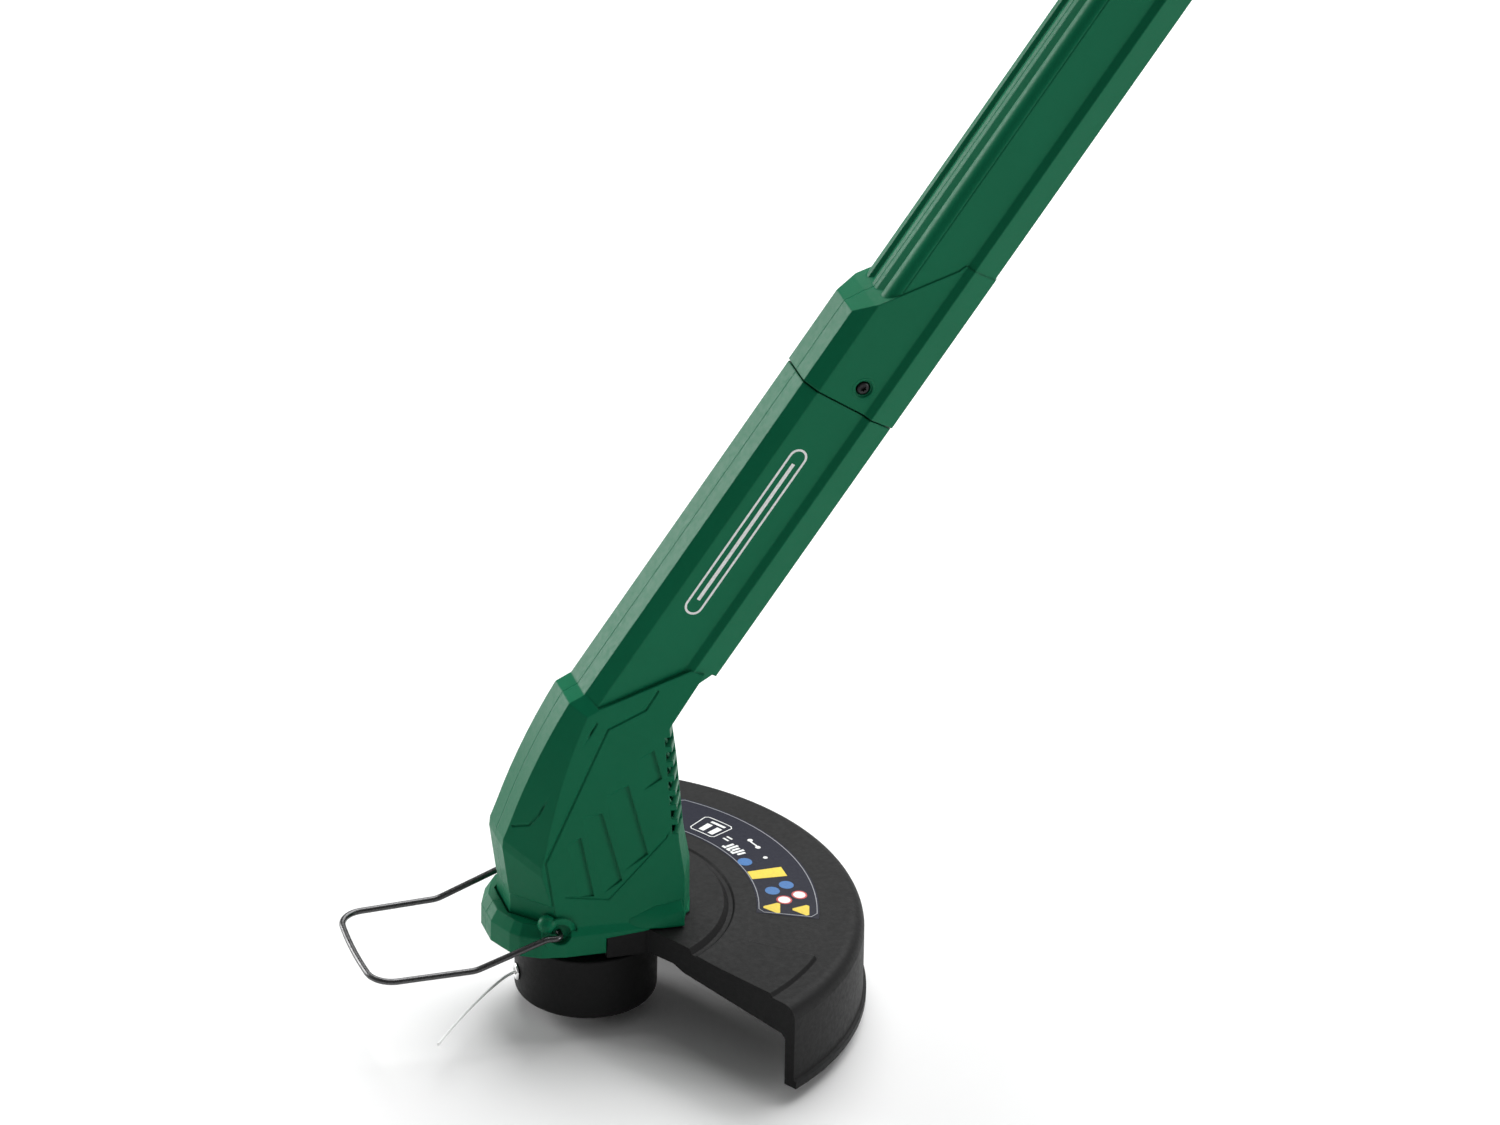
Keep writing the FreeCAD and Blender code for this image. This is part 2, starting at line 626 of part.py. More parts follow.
def switch_body():
    """Snap switch box above the trigger, open for its plunger."""
    box = block(-121.5, -110.5, -7.0, 7.0, 832.0, 860.0)
    box = box.fuse(block(-110.6, -107.5, -4.5, 4.5, 846.0, 852.0))
    hole = rod(vec(-118, 0, PLUNGER_S), vec(-100, 0, PLUNGER_S), 2.05)
    return lean_back(box.cut(hole))


def switch_plunger():
    return lean_back(rod(vec(-112.5, 0, PLUNGER_S), vec(-106.2, 0, PLUNGER_S), 2.0))


def lock_off_button():
    """Thumb button in the back of the grip, with a stem for its spring."""
    cap = block(-133.5, -125.2, -6.0, 6.0, LOCK_S - 9.0, LOCK_S + 9.0)
    cap = round_edges(cap, lambda e: abs(e.BoundBox.XMin + 133.5) < 1e-3 and e.BoundBox.XLength < 1e-6, 1.6)
    lip = block(-126.8, -125.2, -8.2, 8.2, LOCK_S - 11.0, LOCK_S + 11.0)
    for i in range(4):
        z = LOCK_S - 4.5 + 3.0 * i
        cap = cap.cut(block(-134, -133.0, -4.5, 4.5, z - 0.5, z + 0.5))
    stem = rod(vec(-126, 0, LOCK_S), vec(-121.5, 0, LOCK_S), 1.8)
    return lean_back(fuse([cap, lip, stem]))


def lock_spring():
    """Coil under the lock-off button, as stacked wire rings joined by a thin sleeve."""
    rings = [Part.makeTorus(2.9, 0.45, vec(-124.7 + 1.5 * i, 0, LOCK_S), vec(1, 0, 0)) for i in range(4)]
    bars = [rod(vec(-124.7, 2.9 * side, LOCK_S), vec(-120.2, 2.9 * side, LOCK_S), 0.3) for side in (1, -1)]
    return lean_back(fuse(rings + bars))


# ---------------------------------------------------------------- front handle

def bail_path_points():
    """Half of the bail's centre line in its own upright plane, as (y, height over the pivot)."""
    return [(23.0, 0.0), (23.0, 22.0), (33.0, 46.0), (56.0, 78.0), (50.0, 112.0), (20.0, 118.0)]


def rounded_route(points, share=0.45):
    """Straight runs joined by tangent arcs, each as large as its two runs allow."""
    edges = []
    radii = []
    here = points[0]
    for before, corner, after in zip(points, points[1:], points[2:]):
        into = (corner - before)
        out = (after - corner)
        shorter = min(into.Length, out.Length)
        turn = into.getAngle(out)
        into.normalize()
        out.normalize()
        radii.append(share * shorter / math.tan(turn / 2))
        start = corner - into * (share * shorter)
        end = corner + out * (share * shorter)
        toward = (out - into)
        toward.normalize()
        centre_distance = radii[-1] / math.cos(turn / 2)
        middle = corner + toward * (centre_distance - radii[-1])
        if (start - here).Length > 1e-6:
            edges.append(Part.makeLine(here, start))
        edges.append(Part.Arc(start, middle, end).toShape())
        here = end
    edges.append(Part.makeLine(here, points[-1]))
    return Part.Wire(edges), radii


def sweep_circle(route, radius):
    first = route.Edges[0]
    start = first.valueAt(first.FirstParameter)
    direction = first.tangentAt(first.FirstParameter)
    circle = Part.Wire(Part.makeCircle(radius, start, direction))
    return route.makePipeShell([circle], True, True)


def place_bail(shape):
    """From the bail's plane, x = 0 and z = height, to its place on the shaft."""
    moved = shape.copy()
    moved.rotate(ORIGIN, Y_AXIS, -90 + BAIL_TILT)
    moved.translate(vec(-BAIL_N, 0, BAIL_S))
    return lean_back(moved)


def front_bail():
    half = bail_path_points()
    points = [vec(0, y, h) for y, h in half] + [vec(0, -y, h) for y, h in reversed(half)]
    route, _radii = rounded_route(points)
    bar = sweep_circle(route, BAIL_R)
    keep = block(-40, 40, -100, 100, 8, 200)
    parts = [bar.common(keep)]
    for side in (1, -1):
        y0, y1 = sorted((side * 19.6, side * 26.4))
        parts.append(rod(vec(0, y0, 0), vec(0, y1, 0), 13.0))
        parts.append(block(-8.0, 8.0, y0, y1, 0, 20))
    bail = fuse(parts).cut(rod(vec(0, -60, 0), vec(0, 60, 0), 3.08))
    bail = bail.cut(block(-40, 40, -19.6, 19.6, -20, 28))
    return place_bail(bail.cut(front_sleeve_solid(0.0)))


def front_sleeve_solid(extra):
    outer = rod(vec(0, -34, 118.0), vec(0, 34, 118.0), BAIL_R + 2.0 + extra)
    return outer.cut(rod(vec(0, -36, 118.0), vec(0, 36, 118.0), BAIL_R - 0.8))


def front_grip_sleeve():
    """Soft sleeve on the bail's cross bar with moulded finger rings."""
    sleeve = front_sleeve_solid(0.0)
    for i in range(11):
        y = -25 + 5.0 * i
        sleeve = sleeve.cut(Part.makeTorus(BAIL_R + 2.3, 0.7, vec(0, y, 118.0), vec(0, 1, 0)))
    return place_bail(sleeve)


def shaft_rod(y0, y1, radius):
    return rod(shaft_point(BAIL_S, BAIL_N, y0), shaft_point(BAIL_S, BAIL_N, y1), radius)


def detent_discs():
    """Toothed discs between the tube and the bail's legs."""
    discs = []
    for side in (1, -1):
        y0, y1 = sorted((side * 16.12, side * 19.3))
        discs.append(shaft_rod(y0, y1, 10.8).cut(shaft_rod(y0 - 1, y1 + 1, 3.3)))
    return Part.makeCompound(discs)


def bail_bolt():
    head = hexagon_prism(5.5, 26.75, 30.7)
    return fuse([shaft_rod(-39.0, 27.0, 3.0), head])


def hexagon_prism(radius, y0, y1):
    turns = [math.radians(60 * i) for i in range(6)]
    corners = [(-BAIL_N + radius * math.cos(turn), BAIL_S + radius * math.sin(turn)) for turn in turns]
    return lean_back(side_prism(corners, y0, y1))


def knob_disc(s, n, y0, radius):
    """Round boss of the clamp knob with a rounded outer edge."""
    boss = disc(radius, 0, y0 - KNOB_FACE_Y)
    boss = round_edges(boss, lambda e: e.BoundBox.ZMax < 1e-6 and e.BoundBox.XLength > radius, 1.2)
    boss.rotate(ORIGIN, vec(1, 0, 0), -90)
    boss.translate(vec(-n, KNOB_FACE_Y, s))
    return lean_back(boss)


def clamp_knob():
    """Five-lobed knob that clamps the front handle."""
    bosses = [knob_disc(BAIL_S, BAIL_N, -26.8, 7.4), knob_disc(BAIL_S, BAIL_N, -32.2, 12.0)]
    for i in range(5):
        angle = math.radians(72 * i)
        bosses.append(knob_disc(BAIL_S + 12.5 * math.sin(angle), BAIL_N + 12.5 * math.cos(angle), -32.2, 5.0))
    return fuse(bosses).cut(shaft_rod(-39.2, -20, 3.05))


# ---------------------------------------------------------------- guard

def guard_top_line():
    return [(PLATEAU_R, PLATEAU_Z), (66.3, 51.1), (68.3, 51.1), (69.2, cone_z(69.2)), (114.0, 49.4),
            (122.6, 49.4),
            ("arc", (127.6, 47.6), (130.0, 43.0)), (130.3, 10.6), (GUARD_R, 10.0), (GUARD_R, 6.6)]


def guard():
    inner = [(128.6, 6.6), (127.5, 42.0), ("arc", (126.2, 45.2), (122.0, 46.8)), (114.0, 46.8), (67.0, 49.4),
             (63.0, 51.2), (GUARD_INNER_R, 51.2), (GUARD_INNER_R, PLATEAU_Z)]
    sweep = 2 * GUARD_HALF_ANGLE
    skin = lathe(guard_top_line() + inner, -GUARD_HALF_ANGLE, sweep)
    rib_path = guard_top_line() + [(124.8, 6.6), (124.4, 30.8), (122.1, 32.9), (61.7, 39.3), (54.8, 41.7),
                                   (GUARD_INNER_R, 41.0), (GUARD_INNER_R, PLATEAU_Z)]
    rib_angle = 1.6
    ribs = [lathe(rib_path, a, rib_angle) for a in (-GUARD_HALF_ANGLE, GUARD_HALF_ANGLE - rib_angle)]
    section = [(GUARD_INNER_R, 45.0), (45.0, 45.0), (45.0, 52.0), (GUARD_INNER_R, 52.0)]
    web = lathe(section, -GUARD_HALF_ANGLE, sweep)
    shell = fuse([skin, web] + ribs)
    above_seat = side_prism([(-5, seat_z(-5) - 0.1), (80, seat_z(80) - 0.1), (80, 90), (-5, 90)], -60, 60)
    plan = face(mirror_half(FLANGE_HALF), lambda p: vec(p[0], p[1], 30))
    shell = shell.cut(plan.makeOffset2D(0.3, 2).extrude(vec(0, 0, 60)).common(above_seat))
    shell = shell.cut(disc(38.0, 30, 80).cut(plan.makeOffset2D(-2.0, 2).extrude(vec(0, 0, 60))))
    solid = fuse([shell, guard_hub(), guard_pad()])
    for x, y in GUARD_SCREWS:
        solid = solid.cut(disc(SCREW_R + 0.3, 30, 80, x, y))
        solid = solid.cut(disc(3.9, 30, 45.5, x, y))
    solid = solid.cut(blade_seat())
    return solid.cut(label_pocket())


def guard_hub():
    """Block that plugs into the seat under the housing."""
    plan = face(mirror_half(FLANGE_HALF), lambda p: vec(p[0], p[1], 40.9))
    block_solid = plan.makeOffset2D(-0.25, 2).extrude(vec(0, 0, 30))
    top = side_prism([(0.1, 40.9), (0.1, SEAT_Z - 0.1), (70, seat_z(70) - 0.1), (70, 40.9)], -60, 60)
    hub = block_solid.common(top)
    hollow = plan.makeOffset2D(-3.2, 2).extrude(vec(0, 0, 7.0)).common(block(3.2, 80, -60, 60, 30, 80))
    hollow = hollow.cut(disc(17.5, 30, 80))
    hub = hub.cut(hollow).cut(disc(14.6, 30, 80))
    for x, y in GUARD_SCREWS:
        post = disc(4.6, 41.5, 49.5, x, y)
        hub = hub.fuse(post)
    return hub


def guard_screws():
    screws = []
    for x, y in GUARD_SCREWS:
        top = seat_z(x) + 6.0
        shank = disc(SCREW_R, 45.5, top, x, y)
        head = disc(3.3, 43.3, 45.5, x, y)
        screws.append(fuse([shank, head]).cut(disc(1.2, 43.0, 44.4, x, y)))
    return Part.makeCompound(screws)


def guard_pad():
    """Level raised pad on the sloping top, next to the cut edge."""
    path = [(80.0, 50.2), (80.0, 51.3), (114.4, 51.3), (116.0, 49.0), (116.0, 48.4), (100.0, 49.0)]
    return lathe(path, -GUARD_HALF_ANGLE, 20.0)


def cone_z(radius):
    """Height of the guard's top between the plateau and the rim."""
    return 52.0 + (49.4 - 52.0) * (radius - 67.5) / (114.0 - 67.5)


def label_band(z_low, z_high):
    path = [(LABEL_R0, cone_z(LABEL_R0) + z_low), (LABEL_R1, cone_z(LABEL_R1) + z_low),
            (LABEL_R1, cone_z(LABEL_R1) + z_high), (LABEL_R0, cone_z(LABEL_R0) + z_high)]
    return lathe(path, LABEL_A0, LABEL_A1 - LABEL_A0)


def label_pocket():
    return label_band(-0.25, 1.0)


def guard_label():
    return label_band(-0.25, 0.1)


def blade_shape():
    """Cutter blade standing on the inside of the skirt, near the far cut edge."""
    plate = block(118.6, 128.0, -0.75, 0.75, 12.0, 28.0)
    foot = block(126.4, 127.9, -0.75, 12.0, 12.0, 28.0)
    edge = side_prism([(117, 10), (121.5, 10), (117, 18)], -2, 2)
    return plate.cut(edge).fuse(foot)


def place_blade(shape):
    shape = shape.copy()
    shape.rotate(ORIGIN, Z_AXIS, BLADE_ANGLE)
    return shape


def blade_seat():
    seat = block(126.3, 128.05, -1.1, 12.4, 5.0, 28.4)
    return place_blade(seat)


def line_cutter_blade():
    rivets = [rod(vec(126.5, 5.5, z), vec(129.3, 5.5, z), 1.2) for z in (16.0, 24.0)]
    return place_blade(blade_shape().cut([r for r in rivets]))


# ---------------------------------------------------------------- plant guard

def plant_guard_wire():
    knee = vec(-63.4, (LEG_Y + 2 * LEG_Y_FRONT) / 3, WIRE_LEVEL)
    half = [vec(PIVOT_X, 25.0, PIVOT_Z), vec(PIVOT_X, LEG_Y, PIVOT_Z), vec(-29.5, LEG_Y - 0.3, 56.6), knee,
            vec(-111.4, LEG_Y_FRONT - 0.3, WIRE_LEVEL)]
    bow = vec(-113.7, 0, WIRE_LEVEL)
    other = [vec(p.x, -p.y, p.z) for p in reversed(half)]
    route, radii = guard_route(half + [bow] + other)
    print("plant guard bends:", [round(r, 1) for r in radii])
    return sweep_circle(route, WIRE_R)


def guard_route(points):
    """Wire route with its own bend radius at each corner."""
    edges = []
    here = points[0]
    for before, corner, after, radius in zip(points, points[1:], points[2:], BEND_RADII):
        into = corner - before
        out = after - corner
        turn = into.getAngle(out)
        into.normalize()
        out.normalize()
        cut_back = radius * math.tan(turn / 2)
        start = corner - into * cut_back
        end = corner + out * cut_back
        toward = out - into
        toward.normalize()
        middle = corner + toward * (radius / math.cos(turn / 2) - radius)
        edges.append(Part.makeLine(here, start))
        edges.append(Part.Arc(start, middle, end).toShape())
        here = end
    edges.append(Part.makeLine(here, points[-1]))
    return Part.Wire(edges), BEND_RADII


# ---------------------------------------------------------------- tap head

def spool_housing():
    outer = [(0, CUP_TOP), (CUP_R - 1.0, CUP_TOP),
             ("arc", (CUP_R - 0.29, CUP_TOP - 0.29), (CUP_R, CUP_TOP - 1.0)),
             (CUP_R, CUP_BOTTOM + 3), ("arc", (CUP_R - 0.88, CUP_BOTTOM + 0.88), (CUP_R - 3, CUP_BOTTOM)),
             (30.4, CUP_BOTTOM), (30.4, 10.5), (31.2, 12.0), (31.2, 36.6), (9.2, 36.6), (9.2, 31.0),
             (0, 31.0)]
    cup = lathe(outer)
    neck = disc(11.0, CUP_TOP - 1, 42.5)
    cup = cup.fuse(neck)
    cup = cup.cut(disc(SHAFT_R, 0, 60))
    pad = rod(vec(-33.1, 0, LINE_Z), vec(-36, 0, LINE_Z), 4.15)
    hole = rod(vec(-29, 0, LINE_Z), vec(-36, 0, LINE_Z), 2.8)
    return cup.cut([pad, hole])


def line_eyelet():
    sleeve = rod(vec(-30.6, 0, LINE_Z), vec(-34.0, 0, LINE_Z), 2.8)
    rim = rod(vec(-33.1, 0, LINE_Z), vec(-34.3, 0, LINE_Z), 4.0)
    body = fuse([sleeve, rim])
    return body.cut(rod(vec(-28, 0, LINE_Z), vec(-36, 0, LINE_Z), 1.5))


def spool_cover():
    """Disc that snaps into the mouth of the cup, with the hole for the tap knob."""
    return lathe([(KNOB_R + 1.6, 8.4), (30.3, 8.4), (30.3, 10.4), (KNOB_R + 1.6, 10.4)])


def line_spool():
    """Bobbin: two flanges on a core, carried by the tap knob."""
    return lathe([(9.5, 13.0), (28.5, 13.0), (28.5, 14.8), (15.0, 14.8), (15.0, 29.0), (28.5, 29.0),
                  (28.5, 30.8), (9.5, 30.8)])


def wound_line():
    """Packed turns of line, with the surface of the outer turns."""
    pitch = 1.7
    path = [(15.02, 14.82), (23.0, 14.82)]
    count = 8
    for i in range(count):
        z = 14.82 + i * 1.77
        path.append(("arc", (23.0 + 0.5 * pitch, z + 0.885), (23.0, z + 1.77)))
    path.append((15.02, 14.82 + count * 1.77))
    return lathe(path)


def tap_knob():
    dome = lathe([(0, 0), (8.5, 0), ("arc", (12.2, 1.6), (KNOB_R, 5.2)), (KNOB_R, 11.2), (16.8, 11.2),
                  (16.8, 12.98),
                  (9.3, 12.98), (9.3, 22.0), (7.4, 22.0), (7.4, 9.0), (0, 9.0)])
    ribs = []
    for i in range(12):
        cutter = rod(vec(KNOB_R + 0.9, 0, 3.0), vec(KNOB_R + 0.9, 0, 8.3), 1.6)
        cutter.rotate(ORIGIN, Z_AXIS, 30 * i)
        ribs.append(cutter)
    return dome.cut(ribs)


def spool_spring():
    """Compression spring between the cup and the tap knob, as close-set rings with two tie bars."""
    rings = [Part.makeTorus(8.0, 0.6, vec(0, 0, 22.7 + 2.5 * i)) for i in range(4)]
    bars = [disc(0.4, 22.7, 30.2, 8.0 * side, 0) for side in (1, -1)]
    return fuse(rings + bars)


def cutting_line():
    points = [vec(*p) for p in CUTTING_LINE]
    route, radii = rounded_route(points)
    tube = sweep_circle(route, LINE_R)
    expected = math.pi * LINE_R ** 2 * route.Length
    print("cutting line: length", round(route.Length, 1), "radii", [round(r, 1) for r in radii],
          "volume share", round(tube.Volume / expected, 4))
    return tube


# ---------------------------------------------------------------- motor

def motor_shaft():
    shaft = disc(SHAFT_R, 22.5, 128.0).fuse(disc(3.5, 127.9, 141.0))
    return shaft


def head_nut():
    corners = [(7.0 * math.cos(math.radians(60 * i)), 7.0 * math.sin(math.radians(60 * i))) for i in range(6)]
    return plan_prism(corners, 25.2, 30.9).cut(disc(SHAFT_R, 20, 40))


def bearing(outer, bore, z0, z1):
    """Sealed ball bearing with a shield groove on each face."""
    body = ring(outer, bore + RUN_FIT, z0, z1)
    mid = (outer + bore) / 2
    for z in (z0, z1):
        body = body.cut(Part.makeTorus(mid + 1.0, 0.5, vec(0, 0, z)))
    return body


def bearing_bracket(bore, outer, z0, z1, plate):
    """Plate with a seat for a bearing, spanning the motor bay."""
    cup = disc(outer, z0, z1)
    return plate.fuse(cup).cut(disc(bore, z0 - 5, z1 + 5))


def stator_core():
    flats = 20.4
    body = disc(25.0, STATOR_Z0, STATOR_Z1).common(block(-30, 30, -flats, flats, 0, 200))
    bore = disc(ARMATURE_R + 0.6, 70, 130)
    for side in (1, -1):
        for end in (1, -1):
            slot = block(*sorted((side * 6.0, side * 19.5)), *sorted((end * 8.5, end * 15.5)), 70, 130)
            body = body.cut(slot)
    return body.cut(bore)


def field_windings():
    """Two saddle coils: bars in the stator's slots joined by end turns above and below it."""
    coils = []
    for end in (1, -1):
        y0, y1 = sorted((end * 9.0, end * 15.0))
        legs = [block(x, x + 11.5, y0, y1, STATOR_Z0 - 4, STATOR_Z1 + 4) for x in (7.0, -18.5)]
        y2, y3 = sorted((end * 14.2, end * 18.6))
        turns = [block(-18.5, 18.5, y2, y3, z, z + 3.9) for z in (STATOR_Z0 - 4, STATOR_Z1 + 0.1)]
        coils.append(fuse(legs + turns))
    slots_clear = disc(ARMATURE_R + 0.8, 60, 130)
    return Part.makeCompound([c.cut(slots_clear) for c in coils])


def armature_core():
    core = disc(ARMATURE_R, STATOR_Z0, STATOR_Z1)
    slots = []
    for i in range(12):
        slot = block(9.0, 14.0, -0.9, 0.9, STATOR_Z0 - 1, STATOR_Z1 + 1)
        slot.rotate(ORIGIN, Z_AXIS, 30 * i)
        slots.append(slot)
    return core.cut(slots).cut(disc(SHAFT_R, 60, 130))


def armature_windings():
    """End turns of the armature above and below its core."""
    ends = []
    for face, end in ((STATOR_Z0, STATOR_Z0 - 4.5), (STATOR_Z1, STATOR_Z1 + 4.5)):
        ends.append(lathe([(5.0, end), (9.5, end), (12.0, (face + end) / 2), (11.5, face), (5.0, face)]))
    return Part.makeCompound(ends)


def commutator():
    body = disc(COMMUTATOR_R, 119.2, 130.5).cut(disc(SHAFT_R, 100, 140))
    slits = []
    for i in range(12):
        slit = block(8.2, 10, -0.3, 0.3, 110, 140)
        slit.rotate(ORIGIN, Z_AXIS, 30 * i + 15)
        slits.append(slit)
    return body.cut(slits)


def carbon_brushes():
    brushes = []
    for side in (1, -1):
        x0, x1 = sorted((side * (COMMUTATOR_R + 0.12), side * 19.0))
        brushes.append(block(x0, x1, -3.0, 3.0, BRUSH_Z - 2.5, BRUSH_Z + 2.5))
    return Part.makeCompound(brushes)


def brush_holders():
    holders = []
    for side in (1, -1):
        box = block(*sorted((side * 11.5, side * 25.0)), -4.2, 4.2, BRUSH_Z - 3.7, BRUSH_Z + 3.7)
        slot = block(*sorted((side * 5.0, side * 23.5)), -3.05, 3.05, BRUSH_Z - 2.55, BRUSH_Z + 2.55)
        holders.append(box.cut(slot))
    return Part.makeCompound(holders)


def brush_springs():
    springs = []
    for side in (1, -1):
        near, far = side * 19.5, side * 22.4
        turns = [vec(near + side * 0.95 * i, 0, BRUSH_Z) for i in range(4)]
        rings = [Part.makeTorus(1.9, 0.3, centre, vec(1, 0, 0)) for centre in turns]
        bars = [rod(vec(near, y, BRUSH_Z), vec(far, y, BRUSH_Z), 0.2) for y in (1.9, -1.9)]
        springs.append(fuse(rings + bars))
    return Part.makeCompound(springs)


def cooling_fan():
    hub = disc(6.5, 67.0, 75.0)
    plate = disc(FAN_R, 67.0, 68.4)
    blades = []
    for i in range(11):
        blade = block(5.5, FAN_R - 0.3, -0.7, 0.7, 68.0, 75.0)
        blade.rotate(ORIGIN, Z_AXIS, i * 360.0 / 11)
        blades.append(blade)
    return fuse([hub, plate] + blades).cut(disc(SHAFT_R, 50, 90))


# ---------------------------------------------------------------- electrics inside the shaft

def capacitor():
    box = block(-88, -76, -5, 9, 215.0, 233.0)
    return lean_back(round_edges(box, lambda e: e.BoundBox.ZLength > 10, 1.5))


def inner_lead(points, radius):
    route, _radii = rounded_route([vec(*p) for p in points])
    return lean_back(sweep_circle(route, radius))


def motor_lead():
    """Lead from the brush gear through the shaft to the switch."""
    return inner_lead([(-72, -7.5, 121), (-72, -7.5, 152), (-67.5, -7.5, 190), (-67.5, -7.5, 738),
                       (-88, -8.5, 768), (-114, -9.6, 788), (-117.5, -9.8, 845)], 1.6)


def mains_lead():
    """Lead from the cord clamp to the switch."""
    return inner_lead([(-76, 0, 926.5), (-78.5, 0.5, 919.5), (-90, 3.5, 913.5), (-100, 6.5, 911),
                       (-113.5, 9.6, 900), (-118, 9.8, 846)], 1.6)


# ---------------------------------------------------------------- all nodes

def build():
    lower_near, lower_far = lower_shells()
    upper_near, upper_far = upper_shells()
    lower, upper = all_shell_bosses()
    lower_plate = block(-27, 27, -17.5, 17.5, 58.0, 60.5)
    upper_plate = block(-14.5, 26, -15, 15, 135.5, 138.0)
    return {
        "lower_shell_near": lower_near,
        "lower_shell_far": lower_far,
        "upper_shell_near": upper_near,
        "upper_shell_far": upper_far,
        "shell_screws": Part.makeCompound([shell_screw(x, z) for x, z in lower + upper]),
        "joint_screw": joint_screw(),
        "grip_pad": lean_back(grip_pad_solid()),
        "trigger": trigger(),
        "trigger_pin": trigger_pin(),
        "switch_body": switch_body(),
        "switch_plunger": switch_plunger(),
        "lock_off_button": lock_off_button(),
        "lock_spring": lock_spring(),
        "cord_gland": cord_gland(),
        "cord_clamp": cord_clamp(),
        "front_handle": front_bail(),
        "front_grip_sleeve": front_grip_sleeve(),
        "detent_discs": detent_discs(),
        "front_handle_bolt": bail_bolt(),
        "clamp_knob": clamp_knob(),
        "guard": guard(),
        "guard_screws": guard_screws(),
        "guard_label": guard_label(),
        "line_cutter_blade": line_cutter_blade(),
        "plant_guard_wire": plant_guard_wire(),
        "spool_housing": spool_housing(),
        "line_eyelet": line_eyelet(),
        "spool_cover": spool_cover(),
        "line_spool": line_spool(),
        "wound_line": wound_line(),
        "tap_knob": tap_knob(),
        "spool_spring": spool_spring(),
        "cutting_line": cutting_line(),
        "motor_shaft": motor_shaft(),
        "head_nut": head_nut(),
        "lower_bearing": bearing(11.0, SHAFT_R, LOWER_BEARING_Z, LOWER_BEARING_Z + 7),
        "upper_bearing": bearing(9.5, 3.5, UPPER_BEARING_Z, UPPER_BEARING_Z + 6),
        "lower_bearing_bracket": bearing_bracket(11.0, 14.0, 58.0, 65.6, lower_plate),
        "upper_bearing_bracket": bearing_bracket(9.5, 12.0, 132.5, 139.2, upper_plate),
        "stator_core": stator_core(),
        "field_windings": field_windings(),
        "armature_core": armature_core(),
        "armature_windings": armature_windings(),
        "commutator": commutator(),
        "carbon_brushes": carbon_brushes(),
        "brush_holders": brush_holders(),
        "brush_springs": brush_springs(),
        "cooling_fan": cooling_fan(),
        "capacitor": capacitor(),
        "motor_lead": motor_lead(),
        "mains_lead": mains_lead(),
    }


os.makedirs("parts", exist_ok=True)
for node, solid in build().items():
    solid.exportStep("parts/" + node + ".step")
    print(node, round(solid.Volume / 1000, 2), "cm3", "valid" if solid.isValid() else "INVALID",
          len(solid.Solids), "solids")
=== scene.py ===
import json
import math

import bmesh
import bpy
from mathutils import Matrix, Vector
from mathutils.bvhtree import BVHTree


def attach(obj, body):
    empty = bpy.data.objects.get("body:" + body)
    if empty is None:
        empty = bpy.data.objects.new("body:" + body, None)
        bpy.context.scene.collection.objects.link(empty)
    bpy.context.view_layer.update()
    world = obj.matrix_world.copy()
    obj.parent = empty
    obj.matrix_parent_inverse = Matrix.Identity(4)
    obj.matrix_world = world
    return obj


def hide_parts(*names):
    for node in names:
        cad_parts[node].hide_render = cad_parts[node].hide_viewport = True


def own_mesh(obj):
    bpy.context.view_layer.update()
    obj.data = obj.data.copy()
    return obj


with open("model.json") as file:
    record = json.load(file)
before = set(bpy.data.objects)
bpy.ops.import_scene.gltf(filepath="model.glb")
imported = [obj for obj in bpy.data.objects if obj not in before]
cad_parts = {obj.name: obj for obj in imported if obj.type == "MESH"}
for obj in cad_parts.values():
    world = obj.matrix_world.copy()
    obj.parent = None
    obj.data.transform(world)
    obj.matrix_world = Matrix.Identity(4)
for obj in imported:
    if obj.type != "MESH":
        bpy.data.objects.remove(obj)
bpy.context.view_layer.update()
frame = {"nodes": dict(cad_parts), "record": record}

nodes = frame["nodes"]
MM = 0.001
SHAFT_LEAN = math.radians(34.5)
ALONG = Vector((math.sin(SHAFT_LEAN), 0, math.cos(SHAFT_LEAN)))       # up the shaft
FRONT = Vector((-math.cos(SHAFT_LEAN), 0, math.sin(SHAFT_LEAN)))      # out of the shaft's upper face


def on_shaft(along_mm, front_mm, side_mm=0.0):
    """Point given along the shaft, out of its upper face and sideways, in mm."""
    return (ALONG * along_mm + FRONT * front_mm + Vector((0, side_mm, 0))) * MM


# ------------------------------------------------------------------ camera

CAMERA_AZIMUTH = math.radians(-18.444)
CAMERA_ELEVATION = math.radians(29.206)
CAMERA_ROLL = math.radians(1.431)
CAMERA_DISTANCE = 3.9537
CAMERA_LENS = 202.08
KNOB_POINT = Vector((0, 0, 0.008))
AIM_RIGHT = 0.0772
AIM_UP = 0.1968


